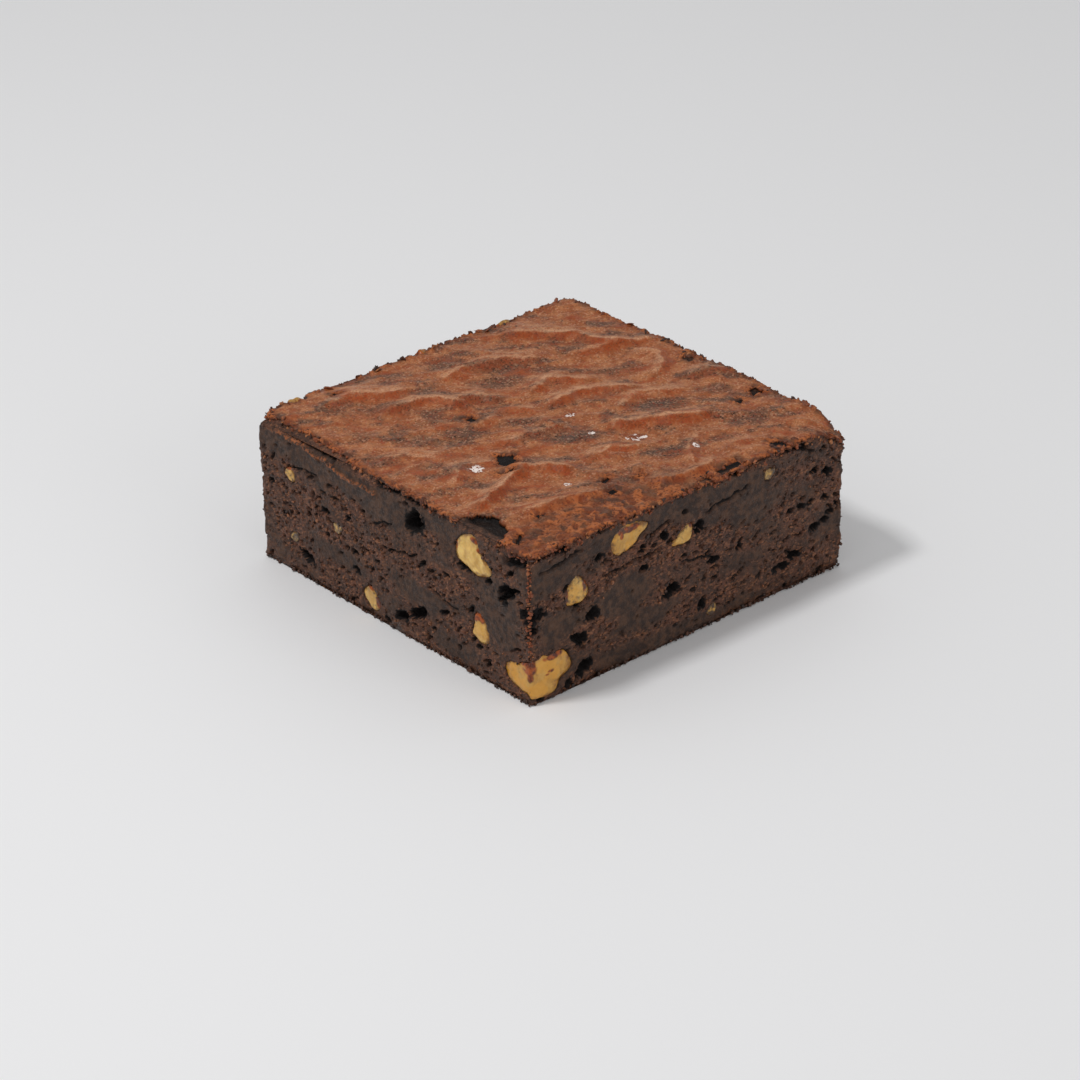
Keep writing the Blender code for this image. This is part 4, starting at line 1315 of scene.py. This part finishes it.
# Torn cake crumbs are dark brown and mat; bits of crust are redder. In both a few are pale,
# and all are dented, with patches of painted shade. For each: dark, middle, pale and
# painted shade colours, the tones where the middle ends and the pale starts, the shade
# patches' size in millimetres and how far they darken.
BIT_FINISHES = (
    ("torn_chocolate_crumbs", ("#33231d", "#5c3c2e", "#9a6241", "#2a1b15"), 0.75, 0.78, 0.3, 1.0,
     (wall_bits, foot_bits)),
    ("shattered_crust_bits", ("#351c12", "#8a4624", "#a86a3e", "#3a2016"), 0.7, 0.72, 0.35, 0.7,
     (rim_bits, rim_flakes, spike, edge_bits)),
)
for name, (dark, middle, pale, dent_shade), middle_end, pale_start, dent_shade_mm, dent_shade_most, pieces in BIT_FINISHES:
    bit_mat, tree, shader, where, tint_at = new_material(name, "tint")
    colour = coated(
        tree, dark,
        (add(tree, "MapRange", (tint_at, 0.0, middle_end), **SOFT), middle),
        (add(tree, "MapRange", (tint_at, pale_start, 1.0), **SOFT), pale),
        (mottle(tree, where, dent_shade_mm, 0.5, 0.7, 0.0, dent_shade_most), dent_shade))
    height = mottle(tree, where, 0.25)
    bump = add(tree, "Bump", {"Height": height, "Strength": 0.8, "Distance": 0.00015})
    plug(tree, shader, (("Base Color", colour), ("Roughness", 0.5), ("IOR", 1.45), ("Normal", bump)))
    for piece in pieces:
        piece.data.materials.append(bit_mat)
for piece in (wall_bits, rim_bits, rim_flakes, spike, edge_bits, foot_bits):
    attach(piece, "root")

# ---------------------------------------------------------------------------
# Floor, lights and camera: a plain pale studio.
# ---------------------------------------------------------------------------
FLOOR_HALF = 3
floor_corners = [(x * FLOOR_HALF, y * FLOOR_HALF, 0) for x, y in ((-1, -1), (1, -1), (1, 1), (-1, 1))]
floor_mesh = bpy.data.meshes.new("floor")
floor_mesh.from_pydata(floor_corners, [], [(0, 1, 2, 3)])
floor = bpy.data.objects.new("floor", floor_mesh)
bpy.context.scene.collection.objects.link(floor)
floor_mat, tree, shader, where = new_material("pale_floor")
plug(tree, shader, (("Base Color", linear("#eeeeef")), ("Roughness", 0.6)))
floor.data.materials.append(floor_mat)

world = bpy.data.worlds.new("studio")
world.use_nodes = True
sky = world.node_tree.nodes["Background"]
sky.inputs["Color"].default_value = linear("#ffffff")
sky.inputs["Strength"].default_value = 0.52
bpy.context.scene.world = world


MIDDLE = (0, 0, 0.02)


def softbox(name, toward, distance, size, watts):
    """A square area light that faces the brownie from one direction."""
    light = bpy.data.lights.new(name, "AREA")
    light.shape = "SQUARE"
    light.size = size
    light.energy = watts
    lamp = bpy.data.objects.new(name, light)
    toward = np.array(toward) / np.linalg.norm(toward)
    lamp.location = Vector(toward * distance) + Vector(MIDDLE)
    lamp.rotation_euler = Vector(toward).to_track_quat("Z", "Y").to_euler()
    bpy.context.scene.collection.objects.link(lamp)


softbox("key", (-0.46, 0.12, 0.88), 0.8, 0.12, 2.5)
softbox("fill", (0.15, -0.95, 0.3), 0.9, 0.5, 1.05)

camera_data = bpy.data.cameras.new("camera")
camera_data.sensor_width = 36.0
camera_data.lens = 123.11
camera_data.clip_end = 10.0
camera = bpy.data.objects.new("camera", camera_data)
right = (0.75158652, -0.65951577, -0.01251622)
up = (0.32072438, 0.34878642, 0.88061564)
back = (-0.57641441, -0.6658731, 0.47366596)
turn = Matrix((right, up, back)).transposed().to_4x4()
turn.translation = (-0.406816, -0.466549, 0.337365)
camera.matrix_world = turn
bpy.context.scene.collection.objects.link(camera)
bpy.context.scene.camera = camera
bpy.context.scene.view_settings.view_transform = "Standard"
